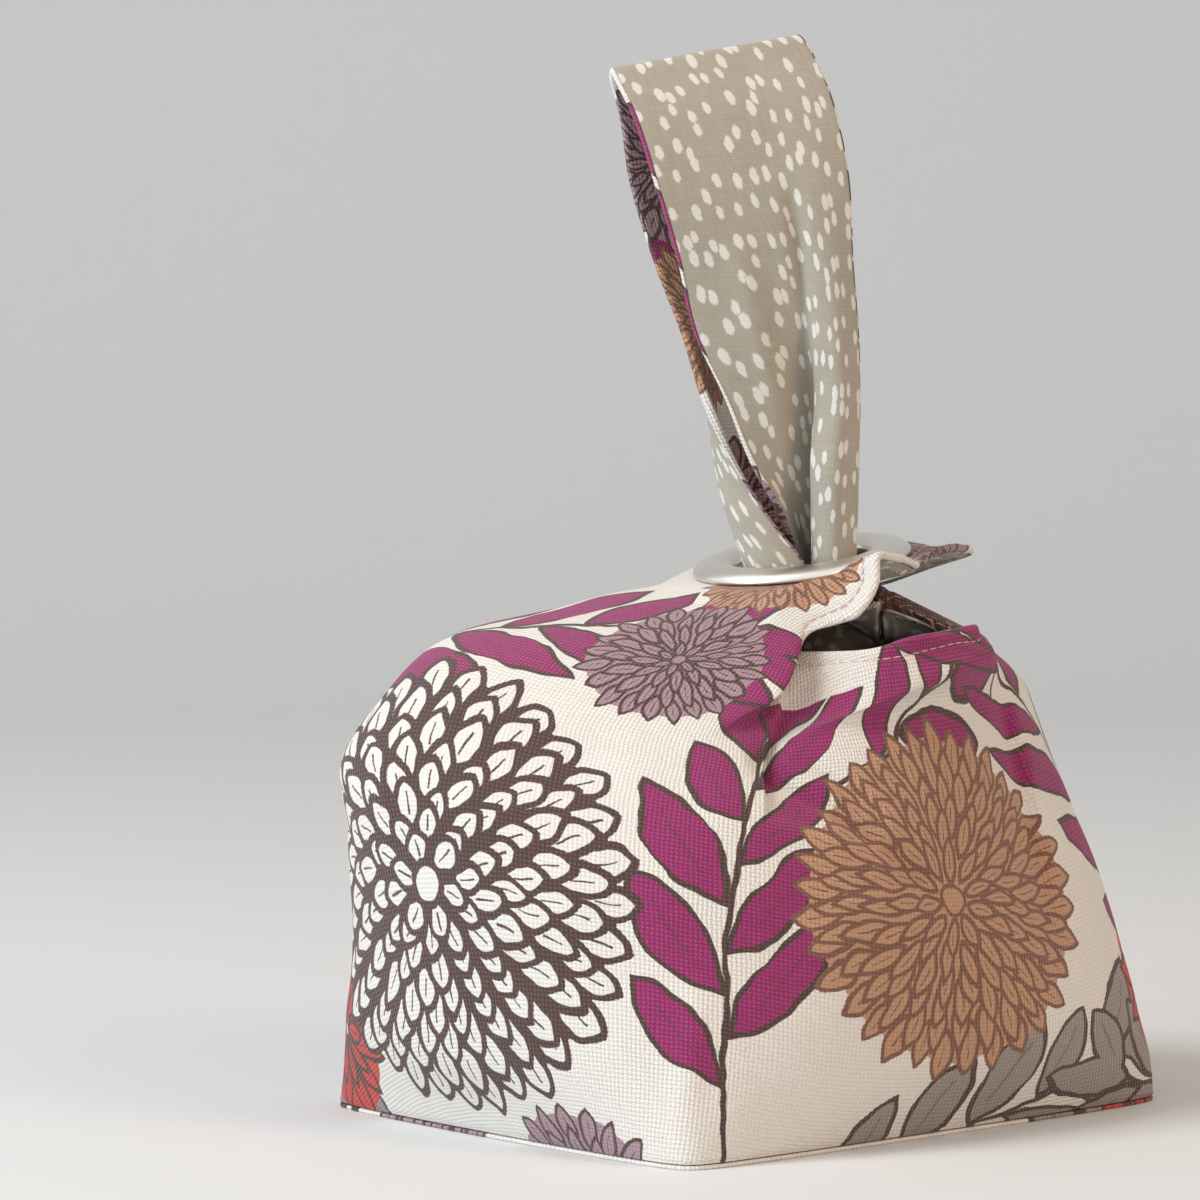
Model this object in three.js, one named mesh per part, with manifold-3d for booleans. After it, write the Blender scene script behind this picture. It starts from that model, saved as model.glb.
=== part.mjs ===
// Small lined "dumpling" bag: a printed cloth body standing on a flat bottom panel, a broad flap from the
// left side with a snap grommet, and a strap from the right side that is doubled back and pulled up
// through the grommet as a hand loop.
// Millimetres, +Z up, +X from the flap side to the strap side, +Y to the back.
// The origin is the middle of the bottom panel's lower face.
import * as THREE from 'three';
import { mergeVertices } from 'three/addons/utils/BufferGeometryUtils.js';
import Module from 'manifold-3d';

// ---------------------------------------------------------------------------------------------------
// Driving dimensions
// ---------------------------------------------------------------------------------------------------
const OUTER_CLOTH = 1.2;      // printed canvas with its interfacing
const LINING_CLOTH = 1.0;     // linen-look lining
const GAP = 0.3;              // between pieces that lie on each other
const BOTTOM_PANEL = 1.2;     // thickness of the panel that the bag stands on
const FOOT_Z = BOTTOM_PANEL + GAP;
const FLAP_THICKNESS = OUTER_CLOTH + GAP + LINING_CLOTH;

// The bottom is a rectangle standing on its corner as seen from the front: half diagonals to two corners.
const RIGHT_CORNER = new THREE.Vector2(121, 5);
const BACK_CORNER = new THREE.Vector2(19, 119);

// Snap grommet: a domed upper half with the sleeve, and a lower half.
const RING = {
  x: 15.7, y: 0, z: 160.5,    // centre, on the flap's upper face
  riseX: 0.12, riseY: 0.10,   // slope of the flap there, to the right and to the back
  outerRadius: 32.5,
  boreRadius: 20,
  sleeve: 1.2,                // wall of the sleeve
  domeHeight: 3.6,
  lowerHeight: 2.0,
  seatGap: 0.5,               // between the flap and each half
};
const HOLE_RADIUS = RING.boreRadius + RING.sleeve + 1.3;
const FLAT_RADIUS = { inner: 36, outer: 44 };   // the flap is flat inside the first and free past the second
const FLAP_FROM_Z = 140;                        // the ring flattens only the flap, which lies above this

// ---------------------------------------------------------------------------------------------------
// Body: level lines round the bag, from the bottom seam up. "reach" is a share of the half diagonal,
// fullness 1 is the straight-sided bottom and 2 an oval, softness rounds the corners.
// ---------------------------------------------------------------------------------------------------
const LEVELS = [
  { v: 0.00, height: { left: FOOT_Z, front: FOOT_Z, right: FOOT_Z, back: FOOT_Z },
    reach: { left: 1.000, front: 1.000, right: 1.000, back: 1.000 }, fullness: 1.03, softness: 0.05 },
  { v: 0.05, height: { left: 9, front: 9, right: 9, back: 9 },
    reach: { left: 0.990, front: 0.980, right: 0.995, back: 0.980 }, fullness: 1.06, softness: 0.10 },
  { v: 0.16, height: { left: 26, front: 26, right: 26, back: 26 },
    reach: { left: 0.975, front: 0.940, right: 0.961, back: 0.940 }, fullness: 1.16, softness: 0.26 },
  { v: 0.32, height: { left: 52, front: 54, right: 52, back: 54 },
    reach: { left: 0.954, front: 0.875, right: 0.896, back: 0.875 }, fullness: 1.30, softness: 0.44 },
  { v: 0.50, height: { left: 84, front: 80, right: 84, back: 80 },
    reach: { left: 0.967, front: 0.810, right: 0.807, back: 0.810 }, fullness: 1.45, softness: 0.54 },
  { v: 0.62, height: { left: 108, front: 96, right: 101, back: 96 },
    reach: { left: 0.975, front: 0.750, right: 0.754, back: 0.750 }, fullness: 1.55, softness: 0.54 },
  { v: 0.70, height: { left: 126, front: 107, right: 115, back: 107 },
    reach: { left: 0.862, front: 0.685, right: 0.713, back: 0.685 }, fullness: 1.65, softness: 0.52 },
  { v: 0.76, height: { left: 138, front: 116, right: 124, back: 116 },
    reach: { left: 0.755, front: 0.625, right: 0.682, back: 0.625 }, fullness: 1.80, softness: 0.50 },
];

// Upper lines round the bag. "at" runs once round: 0 left, 0.25 front, 0.5 right, 0.75 back.
// The front fold starts at the end of the front slit (at = 0.25) and dies out below the collar. A mirrored
// line has the same knots at the back, where "backZ" takes the place of z.
const COLLAR = { v: 0.86, mirrored: true, knots: [
  { at: 0.000, x: -58, y: 0, z: 147 },
  { at: 0.080, x: -38, y: -26, z: 148 },
  { at: 0.140, x: -14, y: -42, z: 146.5 },
  { at: 0.190, x: -4, y: -50, z: 143 },
  { at: 0.225, x: 1, y: -59, z: 137 },
  { at: 0.250, x: 8, y: -67, z: 127.5 },
  { at: 0.266, x: 5, y: -58, z: 124.5 },
  { at: 0.285, x: 16, y: -60, z: 124.5 },
  { at: 0.310, x: 34, y: -62, z: 126 },
  { at: 0.350, x: 55, y: -51, z: 131 },
  { at: 0.400, x: 69, y: -34, z: 135, backZ: 132 },
  { at: 0.450, x: 72, y: -18, z: 134 },
  { at: 0.500, x: 73, y: 0, z: 134 },
] };
const CREST = { v: 0.94, mirrored: true, knots: [
  { at: 0.000, x: -24, y: 0, z: 154.5 },
  { at: 0.080, x: -12, y: -25, z: 153.5 },
  { at: 0.125, x: 8, y: -35, z: 156 },
  { at: 0.155, x: 20, y: -39, z: 161.5 },
  { at: 0.190, x: 17, y: -41, z: 159.5 },
  { at: 0.225, x: 12, y: -46, z: 152 },
  { at: 0.250, x: 13, y: -56, z: 137.5 },
  { at: 0.264, x: 9, y: -48, z: 134.5 },
  { at: 0.280, x: 18, y: -52, z: 134.5 },
  { at: 0.305, x: 33, y: -56, z: 136 },
  { at: 0.350, x: 53, y: -47, z: 139, backZ: 137.5 },
  { at: 0.400, x: 67, y: -32, z: 141, backZ: 135.5 },
  { at: 0.450, x: 64.5, y: -19, z: 142, backZ: 140.5 },
  { at: 0.500, x: 64, y: 0, z: 141.2 },
] };
// Finished edge: flap tip, flap side, front slit, strap, back slit, flap side.
const EDGE = { v: 1.00, mirrored: false, knots: [
  { at: 0.000, x: 55, y: 0, z: 165 },
  { at: 0.090, x: 43, y: -35, z: 166 },
  { at: 0.125, x: 36.3, y: -44, z: 166.8 },
  { at: 0.150, x: 35.8, y: -47.5, z: 159 },
  { at: 0.185, x: 31, y: -50, z: 150.5 },
  { at: 0.225, x: 24, y: -50, z: 147 },
  { at: 0.247, x: 15, y: -49, z: 143.3 },
  { at: 0.262, x: 9.5, y: -43, z: 139.2 },
  { at: 0.275, x: 17, y: -48.5, z: 139.2 },
  { at: 0.290, x: 28, y: -52, z: 139.8 },
  { at: 0.330, x: 44, y: -51.5, z: 143 },
  { at: 0.365, x: 55, y: -43, z: 144.5 },
  { at: 0.400, x: 65.5, y: -30, z: 145.5 },
  { at: 0.430, x: 54, y: -22, z: 144.5 },
  { at: 0.455, x: 38.5, y: -20, z: 150.5 },
  { at: 0.470, x: 38.3, y: -16, z: 143 },
  { at: 0.485, x: 38.2, y: -9, z: 141.5 },
  { at: 0.500, x: 38, y: -1, z: 147.5 },
  { at: 0.515, x: 38, y: 6, z: 153.5 },
  { at: 0.530, x: 38.2, y: 13, z: 153.8 },
  { at: 0.545, x: 38.5, y: 20, z: 150.5 },
  { at: 0.570, x: 54, y: 23, z: 143.5 },
  { at: 0.600, x: 65, y: 30, z: 139.8 },
  { at: 0.635, x: 58, y: 43, z: 141 },
  { at: 0.670, x: 48, y: 51, z: 142 },
  { at: 0.715, x: 36, y: 53, z: 141 },
  { at: 0.738, x: 28, y: 50, z: 142 },
  { at: 0.752, x: 27, y: 48, z: 145 },
  { at: 0.775, x: 34, y: 50, z: 149 },
  { at: 0.815, x: 46, y: 50, z: 153 },
  { at: 0.845, x: 58, y: 49, z: 158 },
  { at: 0.875, x: 68.6, y: 44, z: 162.5 },
  { at: 0.910, x: 65, y: 33, z: 164.5 },
] };

// Where the grid's columns stand: closer together at the two slit ends and their folds.
const COLUMN_SPANS = [
  { to: 0.090, columns: 4 },
  { to: 0.240, columns: 9 },
  { to: 0.290, columns: 7 },
  { to: 0.400, columns: 5 },
  { to: 0.455, columns: 2 },
  { to: 0.545, columns: 6 },
  { to: 0.600, columns: 2 },
  { to: 0.710, columns: 4 },
  { to: 0.760, columns: 4 },
  { to: 0.875, columns: 5 },
  { to: 1.000, columns: 3 },
];
const ROWS = [0, 0.06, 0.18, 0.34, 0.50, 0.62, 0.70, 0.78, 0.84, 0.88, 0.915, 0.94, 0.958, 0.975, 0.988, 1];

// ---------------------------------------------------------------------------------------------------
// Strap: sections across the doubled strap, from its root on the right side, up through the grommet as
// the far strand, over the top and down again as the near strand. Each section has six points [x, y]
// from its left edge to its right edge; "rise" lifts the right edge over the left one. The root itself
// lies on the body's edge between the slits, which stands up in front and sags to a valley behind that.
// ---------------------------------------------------------------------------------------------------
const STRAP_SECTIONS = [
  { z: 147.0, rise: 0.5, crown: -2, left: [27, -17.5], curl: [25.5, -14], bend: [24, -7], back: [24, 2],
    fan: [25, 10], right: [28, 17] },
  { z: 149.0, rise: 1.5, crown: -2, left: [18, -15], curl: [11, -13], bend: [5, -6.5], back: [5, 4],
    fan: [14, 12], right: [27, 14] },
  { z: 161, rise: 0, crown: 0, left: [16.3, -14.5], curl: [7, -15.3], bend: [0, -7.5], back: [1, 5],
    fan: [14, 12.5], right: [31.4, 8] },
  { z: 176, rise: 0, crown: 0, left: [5, -15], curl: [-3, -13], bend: [-6, -4], back: [-1, 8],
    fan: [13, 13], right: [33, 9] },
  { z: 192, rise: 0, crown: 0, left: [-5, -8], curl: [-9, -5], bend: [-9, 1], back: [-1, 10],
    fan: [12, 14], right: [30, 12] },
  { z: 210, rise: 0, crown: 0, left: [-13, -2], curl: [-12, 1], bend: [-9, 5], back: [0, 12],
    fan: [13, 16], right: [28, 15] },
  { z: 230, rise: 0, crown: 0, left: [-20, 2], curl: [-15, 5], bend: [-9, 8], back: [1, 13],
    fan: [13, 17], right: [26, 19] },
  { z: 250, rise: 0, crown: 0, left: [-28, 2], curl: [-19, 6], bend: [-10, 9], back: [1, 14],
    fan: [12, 18], right: [24, 22] },
  { z: 272, rise: 2, crown: 0, left: [-35, 0], curl: [-24, 5], bend: [-13, 10], back: [-2, 14],
    fan: [9, 18], right: [20, 22] },
  { z: 291, rise: 5, crown: 0, left: [-38, -4], curl: [-27, 1], bend: [-16, 6], back: [-5, 10],
    fan: [6, 14], right: [17, 18] },
  { z: 302, rise: 8, crown: 0, left: [-41, -9], curl: [-29.5, -4.5], bend: [-18, 0], back: [-7, 4],
    fan: [4, 8.5], right: [14.5, 13] },
  { z: 305.5, rise: 10, crown: 0, left: [-41, -13], curl: [-29, -9], bend: [-17.5, -4.5], back: [-6.5, 0],
    fan: [4.5, 4], right: [15, 8] },
  { z: 302, rise: 8, crown: 0, left: [-39, -17], curl: [-27, -12.5], bend: [-15, -8], back: [-3, -3],
    fan: [8.5, 1], right: [19, 5] },
  { z: 291, rise: 5, crown: 0, left: [-34, -22], curl: [-21, -18], bend: [-8, -14], back: [4, -10],
    fan: [14.5, -7], right: [24.5, -3] },
  { z: 272, rise: 2, crown: 0, left: [-28, -25], curl: [-15, -21], bend: [-2, -18], back: [9, -15],
    fan: [19, -13], right: [28.7, -9] },
  { z: 250, rise: 0, crown: 0, left: [-21.5, -24], curl: [-8, -21], bend: [6, -17], back: [16, -16],
    fan: [23, -15.5], right: [29.6, -11] },
  { z: 230, rise: 0, crown: 0, left: [-17, -22], curl: [-2, -20], bend: [12, -14], back: [19, -16],
    fan: [25, -17], right: [31, -11] },
  { z: 210, rise: 0, crown: 0, left: [-7.5, -20], curl: [5, -16], bend: [16.5, -8], back: [20.3, -15],
    fan: [26, -18], right: [31.4, -11] },
  { z: 192, rise: 0, crown: 0, left: [0, -17], curl: [8.5, -11], bend: [19, -3.8], back: [18.8, -14.3],
    fan: [25, -19], right: [31.4, -11] },
  { z: 176, rise: 0, crown: 0, left: [9, -12], curl: [14, -3.5], bend: [22.5, -0.5], back: [18.7, -11.5],
    fan: [24.5, -17], right: [31.4, -9.5] },
  { z: 161, rise: 0, crown: 0, left: [13.5, -5], curl: [17, 2.5], bend: [25.5, 1], back: [19.3, -8.5],
    fan: [24, -14.8], right: [30.8, -8] },
  { z: 155, rise: 0, crown: 0, left: [13.5, -3], curl: [18, 3.5], bend: [25.5, 1], back: [20, -7.5],
    fan: [24.5, -13], right: [30.5, -7] },
];
const ACROSS = ['left', 'curl', 'bend', 'back', 'fan', 'right'];
const STRAP_ROOT = { from: 0.455, to: 0.545, gap: 1.3 };                // places on the body's edge
const STRAP_HALF_STEPS = [{ from: 0, to: 3 }, { from: 10, to: 14 }];   // closer together where the strap turns
const STRAP_STEPS_ACROSS = 10;

// ---------------------------------------------------------------------------------------------------
// Curves and surfaces
// ---------------------------------------------------------------------------------------------------
// Smooth curve through points at rising stations, with slopes from the neighbouring points.
function smoothThrough(stations, points, at) {
  const last = stations.length - 1;
  const slope = (i) => {
    const before = Math.max(i - 1, 0);
    const after = Math.min(i + 1, last);
    if (before === i || after === i) {
      return points[after].clone().sub(points[before]).divideScalar(stations[after] - stations[before]);
    }
    const stepIn = stations[i] - stations[before];
    const stepOut = stations[after] - stations[i];
    const slopeIn = points[i].clone().sub(points[before]).divideScalar(stepIn);
    const slopeOut = points[after].clone().sub(points[i]).divideScalar(stepOut);
    return slopeIn.multiplyScalar(stepOut).add(slopeOut.multiplyScalar(stepIn)).divideScalar(stepIn + stepOut);
  };
  let i = 0;
  while (i < last - 1 && stations[i + 1] <= at) i += 1;
  const step = stations[i + 1] - stations[i];
  const t = (at - stations[i]) / step;
  return points[i].clone().multiplyScalar(2 * t ** 3 - 3 * t ** 2 + 1)
    .addScaledVector(slope(i), (t ** 3 - 2 * t ** 2 + t) * step)
    .addScaledVector(points[i + 1], -2 * t ** 3 + 3 * t ** 2)
    .addScaledVector(slope(i + 1), (t ** 3 - t ** 2) * step);
}

const smoothStep = (x) => x * x * (3 - 2 * x);

// A point of a level line, "at" once round the bag.
function levelPoint(level, at) {
  const angle = 2 * Math.PI * at;
  const across = -Math.cos(angle);
  const along = -Math.sin(angle);
  const soft = (x) => Math.hypot(x, level.softness);
  const n = level.fullness;
  const radius = ((soft(1) ** n + soft(0) ** n) / (soft(across) ** n + soft(along) ** n)) ** (1 / n);
  const side = across < 0 ? 'left' : 'right';
  const face = along < 0 ? 'front' : 'back';
  const a = across * radius * level.reach[side];
  const b = along * radius * level.reach[face];
  return new THREE.Vector3(
    RIGHT_CORNER.x * a + BACK_CORNER.x * b,
    RIGHT_CORNER.y * a + BACK_CORNER.y * b,
    level.height[side] * across ** 2 + level.height[face] * along ** 2,
  );
}

// A line's knots all the way round, with two more past each end so that the curve closes smoothly.
function closedKnots(line) {
  const round = line.knots.map((k) => ({ at: k.at, point: new THREE.Vector3(k.x, k.y, k.z) }));
  if (line.mirrored) {
    line.knots.slice(1, -1).reverse().forEach((k) => {
      round.push({ at: 1 - k.at, point: new THREE.Vector3(k.x, -k.y, k.backZ ?? k.z) });
    });
  }
  const before = round.slice(-2).map((k) => ({ at: k.at - 1, point: k.point }));
  const after = round.slice(0, 2).map((k) => ({ at: k.at + 1, point: k.point }));
  const all = [...before, ...round, ...after];
  return { v: line.v, stations: all.map((k) => k.at), points: all.map((k) => k.point) };
}
const UPPER_LINES = [COLLAR, CREST, EDGE].map(closedKnots);
const BODY_STATIONS = [...LEVELS.map((level) => level.v), ...UPPER_LINES.map((line) => line.v)];
const FLAP_SIDES = { front: 0.262, back: 0.738 };   // the flap's columns lie before the one and after the other

const ringPlaneZ = (x, y) => RING.z + RING.riseX * (x - RING.x) + RING.riseY * (y - RING.y);

// The grommet holds the flap flat round itself.
function heldFlat(point) {
  if (point.z < FLAP_FROM_Z) return point;
  const distance = Math.hypot(point.x - RING.x, point.y - RING.y);
  const span = FLAT_RADIUS.outer - FLAT_RADIUS.inner;
  const hold = smoothStep(THREE.MathUtils.clamp((FLAT_RADIUS.outer - distance) / span, 0, 1));
  point.z += (ringPlaneZ(point.x, point.y) - point.z) * hold;
  return point;
}

function bodyColumn(at, rows) {
  const points = [
    ...LEVELS.map((level) => levelPoint(level, at)),
    ...UPPER_LINES.map((line) => smoothThrough(line.stations, line.points, at)),
  ];
  const onFlap = at < FLAP_SIDES.front || at > FLAP_SIDES.back;
  return rows.map((v) => {
    const point = smoothThrough(BODY_STATIONS, points, v);
    return onFlap ? heldFlat(point) : point;
  });
}

function columnPlaces(spans) {
  const places = [];
  let from = 0;
  spans.forEach((span) => {
    for (let i = 0; i < span.columns; i += 1) places.push(from + ((span.to - from) * i) / span.columns);
    from = span.to;
  });
  return places;
}

// The strap's root: the body's edge between the slits, at the depth where the strap's two layers meet.
function strapRoot() {
  const places = Array.from({ length: STRAP_STEPS_ACROSS + 1 }, (_, j) => (
    STRAP_ROOT.from + ((STRAP_ROOT.to - STRAP_ROOT.from) * j) / STRAP_STEPS_ACROSS));
  const edge = places.map((at) => bodyColumn(at, [0.98, 1]));
  const normals = gridNormals(edge, false);
  return edge.map(([below, top], j) => {
    const onward = top.clone().sub(below).setLength(STRAP_ROOT.gap);
    return top.clone().add(onward).addScaledVector(normals[j][1], -(OUTER_CLOTH + GAP / 2));
  });
}

// Strap sections as rows of points from the root to the sewn end.
function strapGrid() {
  const knotPlaces = ACROSS.map((_, i) => i / (ACROSS.length - 1));
  const loop = STRAP_SECTIONS.map((section) => {
    const knots = ACROSS.map((name, i) => {
      const place = knotPlaces[i];
      const arch = section.crown * Math.sin(Math.PI * place);
      return new THREE.Vector3(section[name][0], section[name][1], section.z + section.rise * place + arch);
    });
    return Array.from({ length: STRAP_STEPS_ACROSS + 1 }, (_, j) => (
      smoothThrough(knotPlaces, knots, j / STRAP_STEPS_ACROSS)));
  });
  const sections = [strapRoot(), ...loop];
  const stations = sections.map((_, i) => i);
  const halves = STRAP_HALF_STEPS.flatMap((span) => (
    Array.from({ length: span.to - span.from }, (_, i) => span.from + i + 0.5)));
  const steps = [...stations, ...halves].sort((a, b) => a - b);
  return Array.from({ length: STRAP_STEPS_ACROSS + 1 }, (_, j) => {
    const line = sections.map((section) => section[j]);
    return steps.map((step) => smoothThrough(stations, line, step));
  });
}

// Unit normals of a grid of points, pointing to the outside of the body or the printed side of the strap.
function gridNormals(grid, closed) {
  const columns = grid.length;
  return grid.map((column, i) => column.map((_, j) => {
    const before = closed ? (i + columns - 1) % columns : Math.max(i - 1, 0);
    const after = closed ? (i + 1) % columns : Math.min(i + 1, columns - 1);
    const down = Math.max(j - 1, 0);
    const up = Math.min(j + 1, column.length - 1);
    const acrossStep = grid[after][j].clone().sub(grid[before][j]);
    const alongStep = column[up].clone().sub(column[down]);
    return acrossStep.cross(alongStep).normalize();
  }));
}

const offsetGrid = (grid, normals, distance) => grid.map((column, i) => (
  column.map((point, j) => point.clone().addScaledVector(normals[i][j], distance))));

// ---------------------------------------------------------------------------------------------------
// Solids
// ---------------------------------------------------------------------------------------------------
class MeshBuilder {
  constructor() {
    this.vertices = [];
    this.triangles = [];
  }

  point(p) {
    this.vertices.push(p.x, p.y, p.z);
    return this.vertices.length / 3 - 1;
  }

  grid(points) {
    return points.map((column) => column.map((p) => this.point(p)));
  }

  quad(a, b, c, d) {
    this.triangles.push(a, b, c, a, c, d);
  }

  // A face of the grid; "turned" turns it to the other side.
  face(ids, closed, turned) {
    const columns = closed ? ids.length : ids.length - 1;
    for (let i = 0; i < columns; i += 1) {
      const here = ids[i];
      const next = ids[(i + 1) % ids.length];
      for (let j = 0; j + 1 < here.length; j += 1) {
        if (turned) this.quad(here[j], here[j + 1], next[j + 1], next[j]);
        else this.quad(here[j], next[j], next[j + 1], here[j + 1]);
      }
    }
  }

  // A strip between two rows of points, from the first row to the second.
  strip(first, second, closed) {
    const steps = closed ? first.length : first.length - 1;
    for (let i = 0; i < steps; i += 1) {
      const next = (i + 1) % first.length;
      this.quad(first[i], first[next], second[next], second[i]);
    }
  }

  // A flat fan that closes a row of points.
  fan(row, centre, turned) {
    const middle = this.point(centre);
    row.forEach((id, i) => {
      const next = row[(i + 1) % row.length];
      if (turned) this.triangles.push(middle, next, id);
      else this.triangles.push(middle, id, next);
    });
  }

  geometry() {
    const geometry = new THREE.BufferGeometry();
    geometry.setAttribute('position', new THREE.Float32BufferAttribute(this.vertices, 3));
    geometry.setIndex(this.triangles);
    return geometry;
  }
}

const rowOf = (ids, j) => ids.map((column) => column[j]);
const lastRow = (ids) => ids[0].length - 1;

// A tube of cloth between two offsets of the body, open at the top and at the foot.
function bodyShell(grid, normals, outside, inside) {
  const builder = new MeshBuilder();
  const outerPoints = offsetGrid(grid, normals, -outside);
  const innerPoints = offsetGrid(grid, normals, -inside);
  [...outerPoints, ...innerPoints].forEach((column) => { column[0].z = FOOT_Z; });
  const outer = builder.grid(outerPoints);
  const inner = builder.grid(innerPoints);
  builder.face(outer, true, false);
  builder.face(inner, true, true);
  builder.strip(rowOf(outer, lastRow(outer)), rowOf(inner, lastRow(inner)), true);
  builder.strip(rowOf(inner, 0), rowOf(outer, 0), true);
  return builder.geometry();
}

// The same with a floor: the lining is a bag of its own.
function liningShell(grid, normals, outside, inside) {
  const builder = new MeshBuilder();
  const outerPoints = offsetGrid(grid, normals, -outside);
  const innerPoints = offsetGrid(grid, normals, -inside);
  outerPoints.forEach((column) => { column[0].z = FOOT_Z; });
  innerPoints.forEach((column) => { column[0].z = FOOT_Z + LINING_CLOTH; });
  const outer = builder.grid(outerPoints);
  const inner = builder.grid(innerPoints);
  builder.face(outer, true, false);
  builder.face(inner, true, true);
  builder.strip(rowOf(outer, lastRow(outer)), rowOf(inner, lastRow(inner)), true);
  builder.fan(rowOf(outer, 0), new THREE.Vector3(0, 0, FOOT_Z), true);
  builder.fan(rowOf(inner, 0), new THREE.Vector3(0, 0, FOOT_Z + LINING_CLOTH), false);
  return builder.geometry();
}

function bottomPanelGeometry(grid) {
  const builder = new MeshBuilder();
  const atHeight = (z) => grid.map((column) => builder.point(new THREE.Vector3(column[0].x, column[0].y, z)));
  const lower = atHeight(0);
  const upper = atHeight(BOTTOM_PANEL);
  builder.strip(lower, upper, true);
  builder.fan(lower, new THREE.Vector3(0, 0, 0), true);
  builder.fan(upper, new THREE.Vector3(0, 0, BOTTOM_PANEL), false);
  return builder.geometry();
}

// One layer of the strap, between two offsets on its printed side.
function strapLayer(grid, normals, nearFace, farFace) {
  const builder = new MeshBuilder();
  const upper = builder.grid(offsetGrid(grid, normals, farFace));
  const lower = builder.grid(offsetGrid(grid, normals, nearFace));
  builder.face(upper, false, false);
  builder.face(lower, false, true);
  const top = lastRow(upper);
  const lastColumn = upper.length - 1;
  builder.strip(rowOf(upper, top), rowOf(lower, top), false);
  builder.strip(rowOf(lower, 0), rowOf(upper, 0), false);
  builder.strip(upper[0], lower[0], false);
  builder.strip(lower[lastColumn], upper[lastColumn], false);
  return builder.geometry();
}

// Grommet halves as closed profiles turned round the bore, +Y of the profile along the bore.
const RING_SEGMENTS = 48;
const latheOf = (points) => new THREE.LatheGeometry(points.map(([r, h]) => new THREE.Vector2(r, h)), RING_SEGMENTS);

function upperRingGeometry() {
  const { outerRadius, boreRadius, sleeve, domeHeight } = RING;
  const seat = RING.seatGap;
  const crownRadius = (outerRadius + boreRadius) / 2;
  const halfWidth = (outerRadius - boreRadius) / 2;
  const points = [[outerRadius, seat], [outerRadius, seat + 0.6]];
  const DOME_STEPS = 6;
  for (let i = 1; i < DOME_STEPS; i += 1) {
    const angle = (Math.PI * i) / DOME_STEPS;
    points.push([crownRadius + halfWidth * Math.cos(angle), seat + 0.6 + (domeHeight - 0.6) * Math.sin(angle)]);
  }
  const sleeveEnd = -(FLAP_THICKNESS + RING.seatGap + RING.lowerHeight);
  points.push([boreRadius, seat + 0.6], [boreRadius, sleeveEnd]);
  points.push([boreRadius + sleeve, sleeveEnd], [boreRadius + sleeve, seat], [outerRadius, seat]);
  return latheOf(points);
}

function lowerRingGeometry() {
  const { outerRadius, boreRadius, sleeve, lowerHeight } = RING;
  const seat = -(FLAP_THICKNESS + RING.seatGap);
  const inner = boreRadius + sleeve + GAP;
  return latheOf([
    [inner, seat], [inner, seat - lowerHeight], [outerRadius - 4, seat - lowerHeight],
    [outerRadius, seat - 0.6], [outerRadius, seat], [inner, seat],
  ]);
}

// The room that the grommet needs above and below the cloth, and the hole that its sleeve passes through.
function ringRoomGeometries() {
  const reach = RING.outerRadius + 0.4;
  const slack = RING.seatGap - 0.2;
  const ABOVE = 6;
  const BELOW = 4;
  const above = new THREE.CylinderGeometry(reach, reach, ABOVE, RING_SEGMENTS).translate(0, ABOVE / 2 + slack, 0);
  const below = new THREE.CylinderGeometry(reach, reach, BELOW, RING_SEGMENTS)
    .translate(0, -FLAP_THICKNESS - slack - BELOW / 2, 0);
  const hole = new THREE.CylinderGeometry(HOLE_RADIUS, HOLE_RADIUS, ABOVE + FLAP_THICKNESS + BELOW, RING_SEGMENTS)
    .translate(0, (ABOVE - FLAP_THICKNESS - BELOW) / 2, 0);
  return [above, below, hole];
}

// ---------------------------------------------------------------------------------------------------
// Boolean cuts
// ---------------------------------------------------------------------------------------------------
const wasm = await Module();
wasm.setup();

function toSolid(geometry) {
  const bare = geometry.clone();
  bare.deleteAttribute('normal');
  bare.deleteAttribute('uv');
  const merged = mergeVertices(bare, 1e-4);
  return new wasm.Manifold(new wasm.Mesh({
    numProp: 3,
    vertProperties: new Float32Array(merged.attributes.position.array),
    triVerts: new Uint32Array(merged.index.array),
  }));
}

function toGeometry(solid) {
  const mesh = solid.getMesh();
  const geometry = new THREE.BufferGeometry();
  geometry.setAttribute('position', new THREE.Float32BufferAttribute(mesh.vertProperties, mesh.numProp));
  geometry.setIndex(Array.from(mesh.triVerts));
  return geometry;
}

const ringPlace = new THREE.Matrix4();
{
  const up = new THREE.Vector3(-RING.riseX, -RING.riseY, 1).normalize();
  const turn = new THREE.Quaternion().setFromUnitVectors(new THREE.Vector3(0, 1, 0), up);
  ringPlace.compose(new THREE.Vector3(RING.x, RING.y, RING.z), turn, new THREE.Vector3(1, 1, 1));
}

function cutForRing(geometry) {
  return toGeometry(ringRoomGeometries().reduce(
    (solid, tool) => solid.subtract(toSolid(tool.applyMatrix4(ringPlace))),
    toSolid(geometry),
  ));
}

// ---------------------------------------------------------------------------------------------------
// The bag
// ---------------------------------------------------------------------------------------------------
const FINISH = {
  print: { color: 0xf2e6d2, roughness: 0.9, metalness: 0 },
  lining: { color: 0xb0aba0, roughness: 0.9, metalness: 0 },
  strapPrint: { color: 0x8d7278, roughness: 0.9, metalness: 0 },
  metal: { color: 0xc9c4bd, roughness: 0.35, metalness: 1 },
};

const bag = new THREE.Group();

function addPiece(name, geometry, finish) {
  const mesh = new THREE.Mesh(geometry, new THREE.MeshStandardMaterial(FINISH[finish]));
  mesh.name = name;
  bag.add(mesh);
  return mesh;
}

const places = columnPlaces(COLUMN_SPANS);
const body = places.map((at) => bodyColumn(at, ROWS));
const bodyNormals = gridNormals(body, true);

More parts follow.
